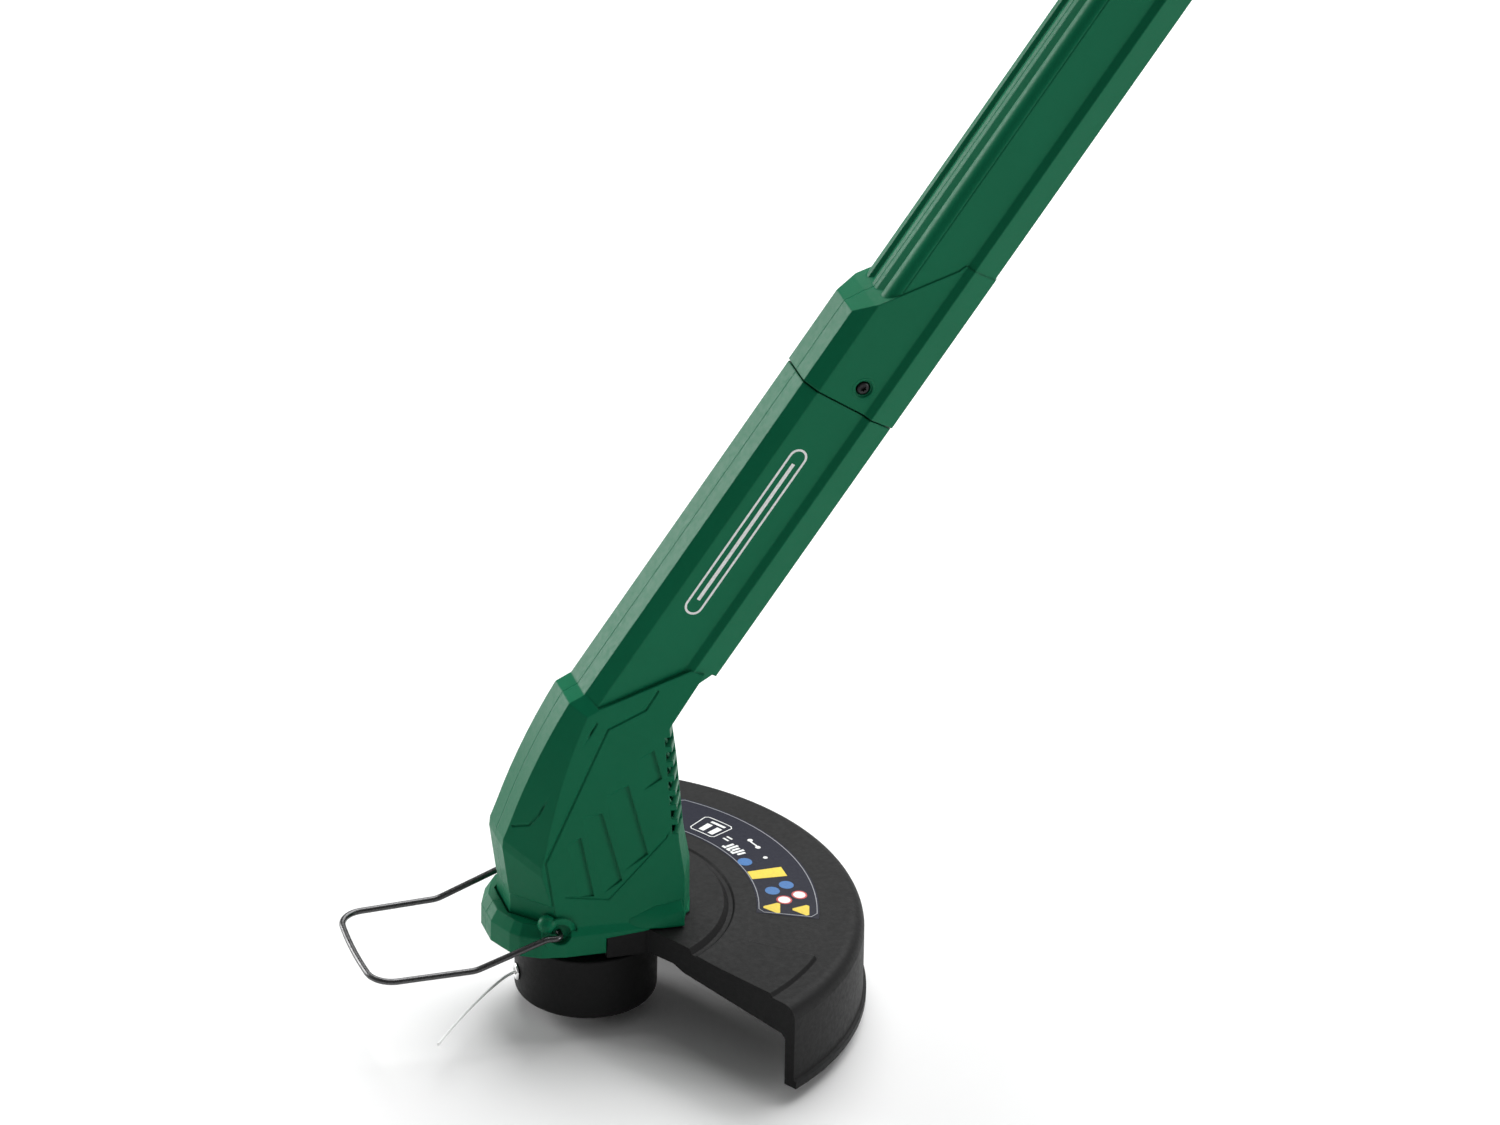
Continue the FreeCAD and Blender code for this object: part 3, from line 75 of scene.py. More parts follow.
def make_camera():
    back = Vector((math.sin(CAMERA_AZIMUTH) * math.cos(CAMERA_ELEVATION),
                   -math.cos(CAMERA_AZIMUTH) * math.cos(CAMERA_ELEVATION),
                   math.sin(CAMERA_ELEVATION)))
    level = Vector((math.cos(CAMERA_AZIMUTH), math.sin(CAMERA_AZIMUTH), 0))
    upright = back.cross(level)
    right = level * math.cos(CAMERA_ROLL) + upright * math.sin(CAMERA_ROLL)
    up = upright * math.cos(CAMERA_ROLL) - level * math.sin(CAMERA_ROLL)
    aim = KNOB_POINT + right * AIM_RIGHT + up * AIM_UP
    eye = aim + back * CAMERA_DISTANCE
    data = bpy.data.cameras.new("photo_camera")
    data.lens = CAMERA_LENS
    data.sensor_width = 36.0
    data.clip_end = 30.0
    camera = bpy.data.objects.new("photo_camera", data)
    rotation = Matrix((right, up, back)).transposed().to_4x4()
    camera.matrix_world = Matrix.Translation(eye) @ rotation
    bpy.context.scene.collection.objects.link(camera)
    bpy.context.scene.camera = camera


# ------------------------------------------------------------------ materials

# depths of the surface grain, m
GRAIN_DEPTH = 0.00006
PORE_DEPTH = 0.00005
RUBBER_DEPTH = 0.00008
BRUSHED_DEPTH = 0.00004
PRINT_DEPTH = 0.00003


def new_material(name):
    material = bpy.data.materials.new(name)
    material.use_nodes = True
    tree = material.node_tree
    shader = tree.nodes["Principled BSDF"]
    return material, tree, shader


def add(tree, kind, **settings):
    node = tree.nodes.new(kind)
    for key, value in settings.items():
        setattr(node, key, value)
    return node


def noise(tree, scale, detail=3.0, roughness=0.55):
    """Noise in object space, so it stays on the piece in every pose. scale is per metre."""
    place = add(tree, "ShaderNodeTexCoord")
    node = add(tree, "ShaderNodeTexNoise")
    node.inputs["Scale"].default_value = scale
    node.inputs["Detail"].default_value = detail
    node.inputs["Roughness"].default_value = roughness
    tree.links.new(place.outputs["Object"], node.inputs["Vector"])
    return node.outputs["Fac"]


def cells(tree, scale):
    place = add(tree, "ShaderNodeTexCoord")
    node = add(tree, "ShaderNodeTexVoronoi")
    node.inputs["Scale"].default_value = scale
    tree.links.new(place.outputs["Object"], node.inputs["Vector"])
    return node.outputs["Distance"]


def ramp(tree, value, stops):
    """Colour or grey ramp: stops are (position, colour or grey)."""
    node = add(tree, "ShaderNodeValToRGB")
    elements = node.color_ramp.elements
    while len(elements) < len(stops):
        elements.new(0.5)
    for element, (position, colour) in zip(elements, stops):
        element.position = position
        grey = (colour, colour, colour) if isinstance(colour, (int, float)) else colour
        element.color = (*grey, 1.0)
    tree.links.new(value, node.inputs["Fac"])
    return node.outputs["Color"]


def bump(tree, height, strength, depth, below=None):
    node = add(tree, "ShaderNodeBump")
    node.inputs["Strength"].default_value = strength
    node.inputs["Distance"].default_value = depth
    tree.links.new(height, node.inputs["Height"])
    if below is not None:
        tree.links.new(below, node.inputs["Normal"])
    return node.outputs["Normal"]


def soft_edge_normal(tree, radius):
    node = add(tree, "ShaderNodeBevel", samples=6)
    node.inputs["Radius"].default_value = radius
    return node.outputs["Normal"]


def edge_mask(tree, radius):
    """1 where the surface turns within radius, as along a moulded edge that gets rubbed."""
    rounded = soft_edge_normal(tree, radius)
    plain = add(tree, "ShaderNodeNewGeometry").outputs["Normal"]
    dot = add(tree, "ShaderNodeVectorMath", operation="DOT_PRODUCT")
    tree.links.new(rounded, dot.inputs[0])
    tree.links.new(plain, dot.inputs[1])
    return ramp(tree, dot.outputs["Value"], [(0.86, 1.0), (0.995, 0.0)])


def mix(tree, factor, first, second, blend="MIX"):
    node = add(tree, "ShaderNodeMix", data_type="RGBA", blend_type=blend)
    if isinstance(factor, (int, float)):
        node.inputs["Factor"].default_value = factor
    else:
        tree.links.new(factor, node.inputs["Factor"])
    for socket, colour in ((node.inputs["A"], first), (node.inputs["B"], second)):
        if isinstance(colour, tuple):
            socket.default_value = (*colour, 1.0)
        else:
            tree.links.new(colour, socket)
    return node.outputs["Result"]


def moulded_plastic(name, base, dark, worn, roughness, grain_per_m, grain_strength, edge_radius=0.0006,
                    specular=0.5, wear=0.5):
    """Moulded plastic: slow tone drift, fine spark-eroded grain, rubbed edges."""
    material, tree, shader = new_material(name)
    drift = ramp(tree, noise(tree, 14, 4), [(0.3, dark), (0.7, base)])
    rub = edge_mask(tree, edge_radius)
    scuff = ramp(tree, noise(tree, 160, 5, 0.7), [(0.42, 0.0), (0.72, wear)])
    worn_mask = mix(tree, 1.0, rub, scuff, "MULTIPLY")
    colour = mix(tree, worn_mask, drift, worn)
    tree.links.new(colour, shader.inputs["Base Color"])
    gloss = ramp(tree, noise(tree, 420, 3), [(0.3, roughness - 0.05), (0.7, roughness + 0.07)])
    tree.links.new(gloss, shader.inputs["Roughness"])
    shader.inputs["Specular IOR Level"].default_value = specular
    rounded = soft_edge_normal(tree, edge_radius)
    fine = bump(tree, noise(tree, grain_per_m, 2), grain_strength, GRAIN_DEPTH, rounded)
    pores = bump(tree, cells(tree, grain_per_m * 0.8), grain_strength, PORE_DEPTH, fine)
    tree.links.new(pores, shader.inputs["Normal"])
    return material


def bare_metal(name, base, dark, roughness, brush_per_m=900):
    material, tree, shader = new_material(name)
    tone = ramp(tree, noise(tree, brush_per_m, 6, 0.7), [(0.3, dark), (0.7, base)])
    tree.links.new(tone, shader.inputs["Base Color"])
    shader.inputs["Metallic"].default_value = 1.0
    gloss = ramp(tree, noise(tree, brush_per_m * 0.4, 4), [(0.3, roughness - 0.07), (0.7, roughness + 0.09)])
    tree.links.new(gloss, shader.inputs["Roughness"])
    tree.links.new(bump(tree, noise(tree, brush_per_m, 5, 0.7), 0.12, BRUSHED_DEPTH), shader.inputs["Normal"])
    return material


def rubber(name, base, light, roughness=0.72, grain_per_m=1500):
    material, tree, shader = new_material(name)
    tone = ramp(tree, noise(tree, 60, 5, 0.6), [(0.3, base), (0.75, light)])
    tree.links.new(tone, shader.inputs["Base Color"])
    gloss = ramp(tree, noise(tree, 300, 3), [(0.3, roughness - 0.06), (0.7, roughness + 0.1)])
    tree.links.new(gloss, shader.inputs["Roughness"])
    shader.inputs["Specular IOR Level"].default_value = 0.35
    grain = bump(tree, cells(tree, grain_per_m), 0.5, RUBBER_DEPTH, soft_edge_normal(tree, 0.0005))
    swell = bump(tree, noise(tree, grain_per_m * 0.4, 3), 0.3, RUBBER_DEPTH, grain)
    tree.links.new(swell, shader.inputs["Normal"])
    return material


def printed_ink(name, base, faded, specular=0.4):
    material, tree, shader = new_material(name)
    shader.inputs["Specular IOR Level"].default_value = specular
    tone = ramp(tree, noise(tree, 900, 4, 0.7), [(0.35, faded), (0.6, base)])
    tree.links.new(tone, shader.inputs["Base Color"])
    gloss = ramp(tree, noise(tree, 500, 3), [(0.3, 0.36), (0.7, 0.48)])
    tree.links.new(gloss, shader.inputs["Roughness"])
    tree.links.new(bump(tree, noise(tree, 2500, 2), 0.15, PRINT_DEPTH), shader.inputs["Normal"])
    return material


def nylon(name):
    """Slightly milky monofilament with fine die lines."""
    material, tree, shader = new_material(name)
    tone = ramp(tree, noise(tree, 220, 4, 0.6), [(0.3, (0.9, 0.91, 0.9)), (0.7, (0.96, 0.965, 0.96))])
    tree.links.new(tone, shader.inputs["Base Color"])
    gloss = ramp(tree, noise(tree, 700, 3), [(0.3, 0.24), (0.7, 0.36)])
    tree.links.new(gloss, shader.inputs["Roughness"])
    shader.inputs["IOR"].default_value = 1.53
    shader.inputs["Subsurface Weight"].default_value = 0.35
    shader.inputs["Subsurface Radius"].default_value = (1.0, 1.0, 1.0)
    shader.inputs["Subsurface Scale"].default_value = 0.0006
    tree.links.new(bump(tree, noise(tree, 1500, 3), 0.15, PRINT_DEPTH), shader.inputs["Normal"])
    return material


def make_materials():
    green, green_dark, green_worn = (0.0012, 0.142, 0.064), (0.001, 0.128, 0.056), (0.01, 0.19, 0.095)
    black, black_dark, black_worn = (0.012, 0.012, 0.0123), (0.009, 0.009, 0.0092), (0.04, 0.04, 0.04)
    return {
        "green_plastic": moulded_plastic("green_plastic", green, green_dark, green_worn, 0.4, 2600, 0.25,
                                         edge_radius=0.0011, specular=0.13, wear=0.3),
        "black_plastic": moulded_plastic("black_plastic", black, black_dark, black_worn, 0.54, 1500, 0.6,
                                         specular=0.13, wear=0.5),
        "inner_plastic": moulded_plastic("inner_plastic", (0.2, 0.2, 0.19), (0.16, 0.16, 0.155),
                                         (0.3, 0.3, 0.29), 0.45, 2200, 0.3, edge_radius=0.0003),
        "soft_grip": rubber("soft_grip", (0.012, 0.012, 0.012), (0.02, 0.02, 0.02)),
        "lead_sheath": rubber("lead_sheath", (0.01, 0.01, 0.01), (0.018, 0.018, 0.018), 0.55, 2600),
        "black_screw": bare_metal("black_screw", (0.045, 0.045, 0.047), (0.02, 0.02, 0.021), 0.38),
        "dark_wire": bare_metal("dark_wire", (0.13, 0.13, 0.132), (0.06, 0.06, 0.061), 0.3, 1400),
        "steel": bare_metal("steel", (0.62, 0.62, 0.63), (0.42, 0.42, 0.43), 0.32),
        "bright_steel": bare_metal("bright_steel", (0.9, 0.9, 0.89), (0.7, 0.7, 0.7), 0.16, 1200),
        "copper": bare_metal("copper", (0.75, 0.34, 0.17), (0.5, 0.2, 0.09), 0.34, 2000),
        "carbon": moulded_plastic("carbon", (0.03, 0.03, 0.032), (0.018, 0.018, 0.02), (0.08, 0.08, 0.08),
                                  0.6, 3000, 0.4, edge_radius=0.0002),
        "label_film": printed_ink("label_film", (0.008, 0.009, 0.02), (0.011, 0.012, 0.025), 0.12),
        "nylon_line": nylon("nylon_line"),
        "ink_white": printed_ink("ink_white", (0.86, 0.87, 0.86), (0.72, 0.73, 0.72)),
        "ink_grey": printed_ink("ink_grey", (0.3, 0.31, 0.34), (0.24, 0.25, 0.28)),
        "ink_blue": printed_ink("ink_blue", (0.02, 0.15, 0.42), (0.02, 0.12, 0.34)),
        "ink_yellow": printed_ink("ink_yellow", (0.83, 0.62, 0.03), (0.72, 0.52, 0.03)),
        "ink_red": printed_ink("ink_red", (0.62, 0.05, 0.05), (0.5, 0.04, 0.04)),
    }


def dress_nodes(materials):
    """Gives every CAD node the procedural material of its slot."""
    for part in frame["record"]["subparts"]:
        node = nodes[part["node"]]
        node.data.materials.clear()
        node.data.materials.append(materials[part["material_slot"]])


# ------------------------------------------------------------------ mesh helpers

CREASE_ANGLE = math.radians(32)


def new_piece(name, mesh, body, material, replaces=()):
    piece = bpy.data.objects.new(name, mesh)
    bpy.context.scene.collection.objects.link(piece)
    mesh.materials.clear()
    mesh.materials.append(material)
    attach(piece, body)
    if replaces:
        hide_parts(*replaces)
    return piece


def mesh_from(name, build):
    """Mesh made by a function that fills a bmesh."""
    work = bmesh.new()
    build(work)
    return finished_mesh(name, work)


def finished_mesh(name, work):
    """Turns a bmesh into a mesh shaded smooth with its sharp creases kept."""
    bmesh.ops.recalc_face_normals(work, faces=work.faces)
    mesh = bpy.data.meshes.new(name)
    work.to_mesh(mesh)
    work.free()
    mesh.shade_smooth()
    mesh.set_sharp_from_angle(angle=CREASE_ANGLE)
    return mesh


def frame_at(origin, axis):
    """Matrix whose Z is axis, at origin."""
    z_axis = Vector(axis).normalized()
    helper = Vector((1, 0, 0)) if abs(z_axis.x) < 0.9 else Vector((0, 1, 0))
    x_axis = helper.cross(z_axis).normalized()
    y_axis = z_axis.cross(x_axis)
    return Matrix.Translation(origin) @ Matrix((x_axis, y_axis, z_axis)).transposed().to_4x4()


def lathe(work, place, rings, segments=72, closed=True):
    """Rings (radius or function of angle, height) in mm, joined in order and capped."""
    loops = []
    for radius, height in rings:
        loop = []
        for i in range(segments):
            angle = 2 * math.pi * i / segments
            r = radius(angle) if callable(radius) else radius
            point = Vector((r * math.cos(angle), r * math.sin(angle), height))
            loop.append(work.verts.new(place @ (point * MM)))
        loops.append(loop)
    pairs = list(zip(loops, loops[1:]))
    if closed:
        pairs.append((loops[-1], loops[0]))
    for low, high in pairs:
        for i in range(segments):
            j = (i + 1) % segments
            work.faces.new((low[i], low[j], high[j], high[i]))
    if not closed:
        work.faces.new(loops[0])
        work.faces.new(loops[-1])


def surface_of(*names):
    """BVH of CAD nodes at rest, to lay prints on."""
    vertices, faces = [], []
    for name in names:
        mesh = nodes[name].data
        start = len(vertices)
        vertices += [v.co.copy() for v in mesh.vertices]
        faces += [[start + i for i in p.vertices] for p in mesh.polygons]
    return BVHTree.FromPolygons(vertices, faces)


def print_patch(work, outline, inner, project, thickness):
    """Thin raised print: outline of 2-D points, with an optional inner outline of as many points."""
    count = len(outline)
    rings = [outline] + ([inner] if inner else [])
    lifted = []
    for ring in rings:
        low = [work.verts.new(project(p, -PRINT_SINK)) for p in ring]
        high = [work.verts.new(project(p, thickness)) for p in ring]
        lifted.append((low, high))
    if inner:
        (low, high), (low_in, high_in) = lifted
        for i in range(count):
            j = (i + 1) % count
            work.faces.new((high[i], high[j], high_in[j], high_in[i]))
            work.faces.new((low[i], low[j], low_in[j], low_in[i]))
            work.faces.new((low[i], low[j], high[j], high[i]))
            work.faces.new((low_in[i], low_in[j], high_in[j], high_in[i]))
        return
    low, high = lifted[0]
    work.faces.new(high)
    work.faces.new(low)
    for i in range(count):
        j = (i + 1) % count
        work.faces.new((low[i], low[j], high[j], high[i]))


# ------------------------------------------------------------------ cutting line

# control points from the eyelet to the cut end, mm
LINE_ROUTE = [(-33.2, 0, 19.6), (-37.6, -0.9, 19.3), (-44.4, -5.4, 18.6), (-54.5, -13.6, 17.6),
              (-65.2, -23.8, 16.9), (-75.4, -34.6, 16.4), (-85.0, -46.0, 16.1)]
LINE_RADIUS = 0.0007     # m


def make_cutting_line(material):
    curve = bpy.data.curves.new("cutting_line_strand", "CURVE")
    curve.dimensions = "3D"
    spline = curve.splines.new("NURBS")
    spline.points.add(len(LINE_ROUTE) - 1)
    for point, place in zip(spline.points, LINE_ROUTE):
        point.co = (*(Vector(place) * MM), 1.0)
    spline.order_u = 3
    spline.use_endpoint_u = True
    spline.resolution_u = 24
    curve.bevel_depth = LINE_RADIUS
    curve.bevel_resolution = 5
    curve.use_fill_caps = True
    strand = bpy.data.objects.new("cutting_line_strand", curve)
    bpy.context.scene.collection.objects.link(strand)
    curve.materials.append(material)
    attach(strand, "head")
    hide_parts("cutting_line")


# ------------------------------------------------------------------ stage and light

FLOOR_HALF = 6.0
FLOOR_DROP = 0.0004      # keeps the floor just clear of the tap knob
WORLD_STRENGTH = 0.2
LIGHT_AIM = (0.15, 0, 0.3)
# name, place, width, height (m) and power (W)
SOFTBOXES = [("top_softbox", (1.2, 1.4, 2.9), 3.4, 3.4, 175),
             ("back_softbox", (-2.3, 2.7, 0.9), 2.2, 1.7, 105),
             ("right_softbox", (3.2, -1.9, 0.8), 1.6, 1.4, 44)]


def fill_floor(work):
    bmesh.ops.create_grid(work, x_segments=2, y_segments=2, size=FLOOR_HALF)


def make_floor():
    mesh = mesh_from("floor", fill_floor)
    floor = bpy.data.objects.new("floor", mesh)
    bpy.context.scene.collection.objects.link(floor)
    floor.location.z = -FLOOR_DROP
    material, tree, shader = new_material("pale_floor")
    tone = ramp(tree, noise(tree, 3, 3), [(0.3, (0.87, 0.87, 0.87)), (0.7, (0.9, 0.9, 0.9))])
    tree.links.new(tone, shader.inputs["Base Color"])
    shader.inputs["Roughness"].default_value = 0.9
    shader.inputs["Specular IOR Level"].default_value = 0.1
    mesh.materials.append(material)


def softbox(name, place, width, height, power):
    data = bpy.data.lights.new(name, "AREA")
    data.shape = "RECTANGLE"
    data.size = width
    data.size_y = height
    data.energy = power
    lamp = bpy.data.objects.new(name, data)
    bpy.context.scene.collection.objects.link(lamp)
    lamp.matrix_world = frame_at(Vector(place), Vector(place) - Vector(LIGHT_AIM))


def make_lights():
    world = bpy.data.worlds.new("studio")
    world.use_nodes = True
    background = world.node_tree.nodes["Background"]
    background.inputs["Color"].default_value = (1.0, 1.0, 1.0, 1.0)
    background.inputs["Strength"].default_value = WORLD_STRENGTH
    bpy.context.scene.world = world
    for name, place, width, height, power in SOFTBOXES:
        softbox(name, place, width, height, power)
    bpy.context.scene.view_settings.view_transform = "Standard"


# ------------------------------------------------------------------ prints

PRINT_LIFT = 0.06        # height of a print over its surface, mm
PRINT_SINK = 0.02        # how far its underside sits in the surface, mm


def label_spot(surface):
    """Maps (radius, angle in degrees) on the guard to a point on the label's face."""
    def project(point, lift):
        radius, degrees = point
        angle = math.radians(degrees)
        above = Vector((radius * math.cos(angle), radius * math.sin(angle), 80)) * MM
        hit, _normal, _index, _distance = surface.ray_cast(above, Vector((0, 0, -1)))
        return hit + Vector((0, 0, lift * MM))
    return project


def polar_box(r0, r1, a0, a1, corner=0.0, steps=8):
    """Outline with arcs along both radii, sides straight."""
    low = [(r0, a0 + (a1 - a0) * i / steps) for i in range(steps + 1)]
    high = [(r1, a1 + (a0 - a1) * i / steps) for i in range(steps + 1)]
    if corner:
        turn = math.degrees(corner / r0)
        low[0], low[-1] = (r0, a0 + turn), (r0, a1 - turn)
        high[0], high[-1] = (r1, a1 - turn), (r1, a0 + turn)
        low = [(r0 + corner, a0)] + low + [(r0 + corner, a1)]
        high = [(r1 - corner, a1)] + high + [(r1 - corner, a0)]
    return low + high


def local_shape(radius, angle, points):
    """Small figure given in mm about a spot on the label, first axis outward, second round the guard."""
    return [(radius + u, angle + math.degrees(v / radius)) for u, v in points]


def circle(r, steps=28):
    angles = [2 * math.pi * i / steps for i in range(steps)]
    return [(r * math.cos(angle), r * math.sin(angle)) for angle in angles]


BORDER = 0.4             # width of the printed frame line, mm
BORDER_GAP = 0.9         # between the film's edge and the frame line, mm
BORDER_CORNER = 2.6
BORDER_INNER_CORNER = 2.3
BORDER_STEPS = 24

# figures on the label; spots are (radius in mm, angle in degrees), sizes are in mm
TRIANGLE_SPOTS = [(87.4, -18.2), (101.0, -18.3)]
TRIANGLE_R = 4.9
YELLOW_SPOT = (89.6, 2.0)
YELLOW_HALF = (8.6, 3.9)
BLUE_SPOTS = [(88.0, -8.2), (95.6, -5.2), (83.9, 10.6)]
BLUE_R = 3.5
RING_SPOTS = [(92.6, -13.4), (100.2, -10.6)]
RING_R = 3.7
RING_HOLE = 2.9
WHITE_DOTS = [((96.8, 16.5), 1.3), ((97.6, 20.8), 1.3), ((94.9, 10.6), 1.1)]
WHITE_BARS = [((97.0, 18.6), (0.4, 3.0)), ((88.6, 25.2), (0.5, 1.8)), ((91.0, 25.2), (0.5, 1.8))]
WHITE_BARS += [((86.4, 15.6 + 1.5 * i), (2.2 + 0.8 * (i % 2), 0.7)) for i in range(5)]
WHITE_BARS += [((83.2, 17.5 + 2.2 * i), (0.7, 1.2)) for i in range(3)]
PANEL_OUTER = (84.6, 99.6, 28.6, 38.4, 1.4)      # radii, angles and corner
PANEL_INNER = (85.1, 99.1, 28.9, 38.1, 1.1)
PANEL_BARS = [((90.4, 31.0), (3.6, 1.5)), ((90.4, 34.6), (3.6, 1.5)), ((96.4, 32.8), (0.8, 4.2))]


def triangle(half, tilt_deg=0.0):
    """Small triangle with cut corners, pointing outward before it is turned by tilt_deg."""
    points = []
    for i in range(3):
        for shift in (-9, 9):
            angle = math.radians(120 * i + shift + tilt_deg)
            points.append((half * math.cos(angle), half * math.sin(angle)))
    return points


def block_shape(u, v):
    return [(-u, -v), (u, -v), (u, v), (-u, v)]


def make_label_prints(materials):
    """Generic stickers: plain discs, bars and blocks, with no lettering or warning pictures."""
    project = label_spot(surface_of("guard_label"))

    def lay(name, ink, patches):
        def build(work):
            for outline, inner in patches:
                print_patch(work, outline, inner, project, PRINT_LIFT)
        mesh = mesh_from(name, build)
        new_piece(name, mesh, "frame", materials[ink])

    def spots(places, shape):
        return [(local_shape(*place, shape), None) for place in places]

    def blocks(rows):
        return [(local_shape(*place, block_shape(*half)), None) for place, half in rows]

    film = [v.co / MM for v in nodes["guard_label"].data.vertices]
    radii = [math.hypot(v.x, v.y) for v in film]
    turns = [math.degrees(math.atan2(v.y, v.x)) for v in film]
    inset = math.degrees(BORDER_GAP / min(radii))
    edge = math.degrees(BORDER / min(radii))
    r_in, r_out = min(radii) + BORDER_GAP, max(radii) - BORDER_GAP
    start, end = min(turns) + inset, max(turns) - inset
    outer = polar_box(r_in, r_out, start, end, BORDER_CORNER, BORDER_STEPS)
    inner = polar_box(r_in + BORDER, r_out - BORDER, start + edge, end - edge, BORDER_INNER_CORNER, BORDER_STEPS)
    lay("label_border", "ink_grey", [(outer, inner)])
    lay("label_yellow_blocks", "ink_yellow",
        spots(TRIANGLE_SPOTS, triangle(TRIANGLE_R, 180)) + blocks([(YELLOW_SPOT, YELLOW_HALF)]))
    lay("label_blue_discs", "ink_blue", spots(BLUE_SPOTS, circle(BLUE_R)))
    lay("label_white_discs", "ink_white", spots(RING_SPOTS, circle(RING_HOLE)))
    rings = []
    for place in RING_SPOTS:
        rings.append((local_shape(*place, circle(RING_R)), local_shape(*place, circle(RING_HOLE))))
    lay("label_red_rings", "ink_red", rings)
    dots = [(local_shape(*place, circle(r)), None) for place, r in WHITE_DOTS]
    lay("label_white_bars", "ink_white", blocks(WHITE_BARS) + dots)
    panel = (polar_box(*PANEL_OUTER), polar_box(*PANEL_INNER))
    lay("label_value_panel", "ink_white", [panel] + blocks(PANEL_BARS))


# hollow stripe on the lower shaft's near side, mm
MARK_START = 196.0
MARK_END = 290.0
MARK_FRONT = 84.0
MARK_HALF = 4.6
MARK_LINE = 1.1
MARK_BAR_INSET = 8.0
MARK_BAR_HALF = 0.9


def make_shaft_mark(materials):
    """Plain hollow stripe with round ends in place of any lettering."""
    surface = surface_of("lower_shell_near")

    def project(point, lift):
        outside = on_shaft(point[0], point[1], -60)
        hit, _normal, _index, _distance = surface.ray_cast(outside, Vector((0, 1, 0)))
        return hit - Vector((0, lift * MM, 0))

    def pill(inset):
        half = MARK_HALF - inset
        points = []
        for centre, start in ((MARK_END - MARK_HALF, -90), (MARK_START + MARK_HALF, 90)):
            for i in range(13):
                angle = math.radians(start + 15 * i)
                points.append((centre + half * math.cos(angle), MARK_FRONT + half * math.sin(angle)))
        return points

    start, end = MARK_START + MARK_BAR_INSET, MARK_END - MARK_BAR_INSET
    low, high = MARK_FRONT - MARK_BAR_HALF, MARK_FRONT + MARK_BAR_HALF
    bar = [(start, low), (end, low), (end, high), (start, high)]

    def build(work):
        print_patch(work, pill(0), pill(MARK_LINE), project, PRINT_LIFT)
        print_patch(work, bar, None, project, PRINT_LIFT)

    new_piece("shaft_stripe", mesh_from("shaft_stripe", build), "frame", materials["ink_white"])


# ------------------------------------------------------------------ screws

def lobed(radius, depth):
    """Radius of a six-lobed driver recess at an angle."""
    return lambda angle: radius + depth * math.cos(6 * angle)


def build_screw(work, place, head_r, head_h, shank_r, length, recess_r):
    """Pan head screw with its Z out of the head. The head's face is at height 0."""
    lathe(work, place, [
        (0.02, -length), (shank_r * 0.55, -length), (shank_r, -length + 2.0), (shank_r, -head_h),
        (head_r - 0.1, -head_h), (head_r, -head_h + 0.15), (head_r, -0.75), (head_r - 0.18, -0.35),
        (head_r - 0.55, -0.1), (head_r - 1.0, 0),
        (lobed(recess_r, 0.2 * recess_r), 0), (lobed(recess_r * 0.96, 0.2 * recess_r), -0.15),
        (lobed(recess_r * 0.92, 0.19 * recess_r), -1.3), (0.35, -1.35), (0.02, -1.35),
    ], segments=72, closed=False)


def islands(name):
    """Vertex lists of a node's separate solids."""
    mesh = nodes[name].data
    work = bmesh.new()
    work.from_mesh(mesh)
    bmesh.ops.remove_doubles(work, verts=work.verts, dist=1e-6)
    seen = set()
    found = []
    for first in work.verts:
        if first in seen:
            continue
        stack, group = [first], []
        seen.add(first)
        while stack:
            vertex = stack.pop()
            group.append(vertex.co.copy())
            for edge in vertex.link_edges:
                other = edge.other_vert(vertex)
                if other not in seen:
                    seen.add(other)
                    stack.append(other)
        found.append(group)
    work.free()
    return found


def screw_frames(name, axis):
    """(head face centre, head radius, length) of each screw whose head points along axis."""
    axis = Vector(axis)
    result = []
    for group in islands(name):
        heights = [p.dot(axis) for p in group]
        top = max(heights)
        length = top - min(heights)
        face = [p for p, h in zip(group, heights) if h > top - 1e-5]
        centre = sum(face, Vector()) / len(face)
        centre += axis * (top - centre.dot(axis))
        radius = max(((p - centre) - axis * (p - centre).dot(axis)).length for p in group)
        result.append((centre, radius, length))
    return result


HEAD_HEIGHT_SHARE = 0.72         # of the head's radius
HEAD_HEIGHT_MAX = 2.4
RECESS_SHARE = 0.42
# name, CAD node, direction that the heads face, shank radius in mm
SCREWS = [("joint_screw_lobed", "joint_screw", (0, -1, 0), 1.75),
          ("shell_screws_lobed", "shell_screws", (0, 1, 0), 1.4),
          ("guard_screws_lobed", "guard_screws", (0, 0, -1), 1.4)]


def make_screws(materials):
    for name, node, axis, shank in SCREWS:
        work = bmesh.new()
        for centre, radius, length in screw_frames(node, axis):
            head = radius / MM
            height = min(HEAD_HEIGHT_MAX, head * HEAD_HEIGHT_SHARE)
            build_screw(work, frame_at(centre, axis), head, height, shank, length / MM, head * RECESS_SHARE)
        mesh = finished_mesh(name, work)
        new_piece(name, mesh, "frame", materials["black_screw"], [node])


# radius and height over the collar's side, mm
LIP_RINGS = [(4.2, -0.8), (4.3, 0.5), (4.6, 0.85), (5.4, 0.9), (5.9, 0.6), (6.2, -0.8)]
LIP_PROBE = 5.2          # how far beside the screw the collar's side is measured, mm


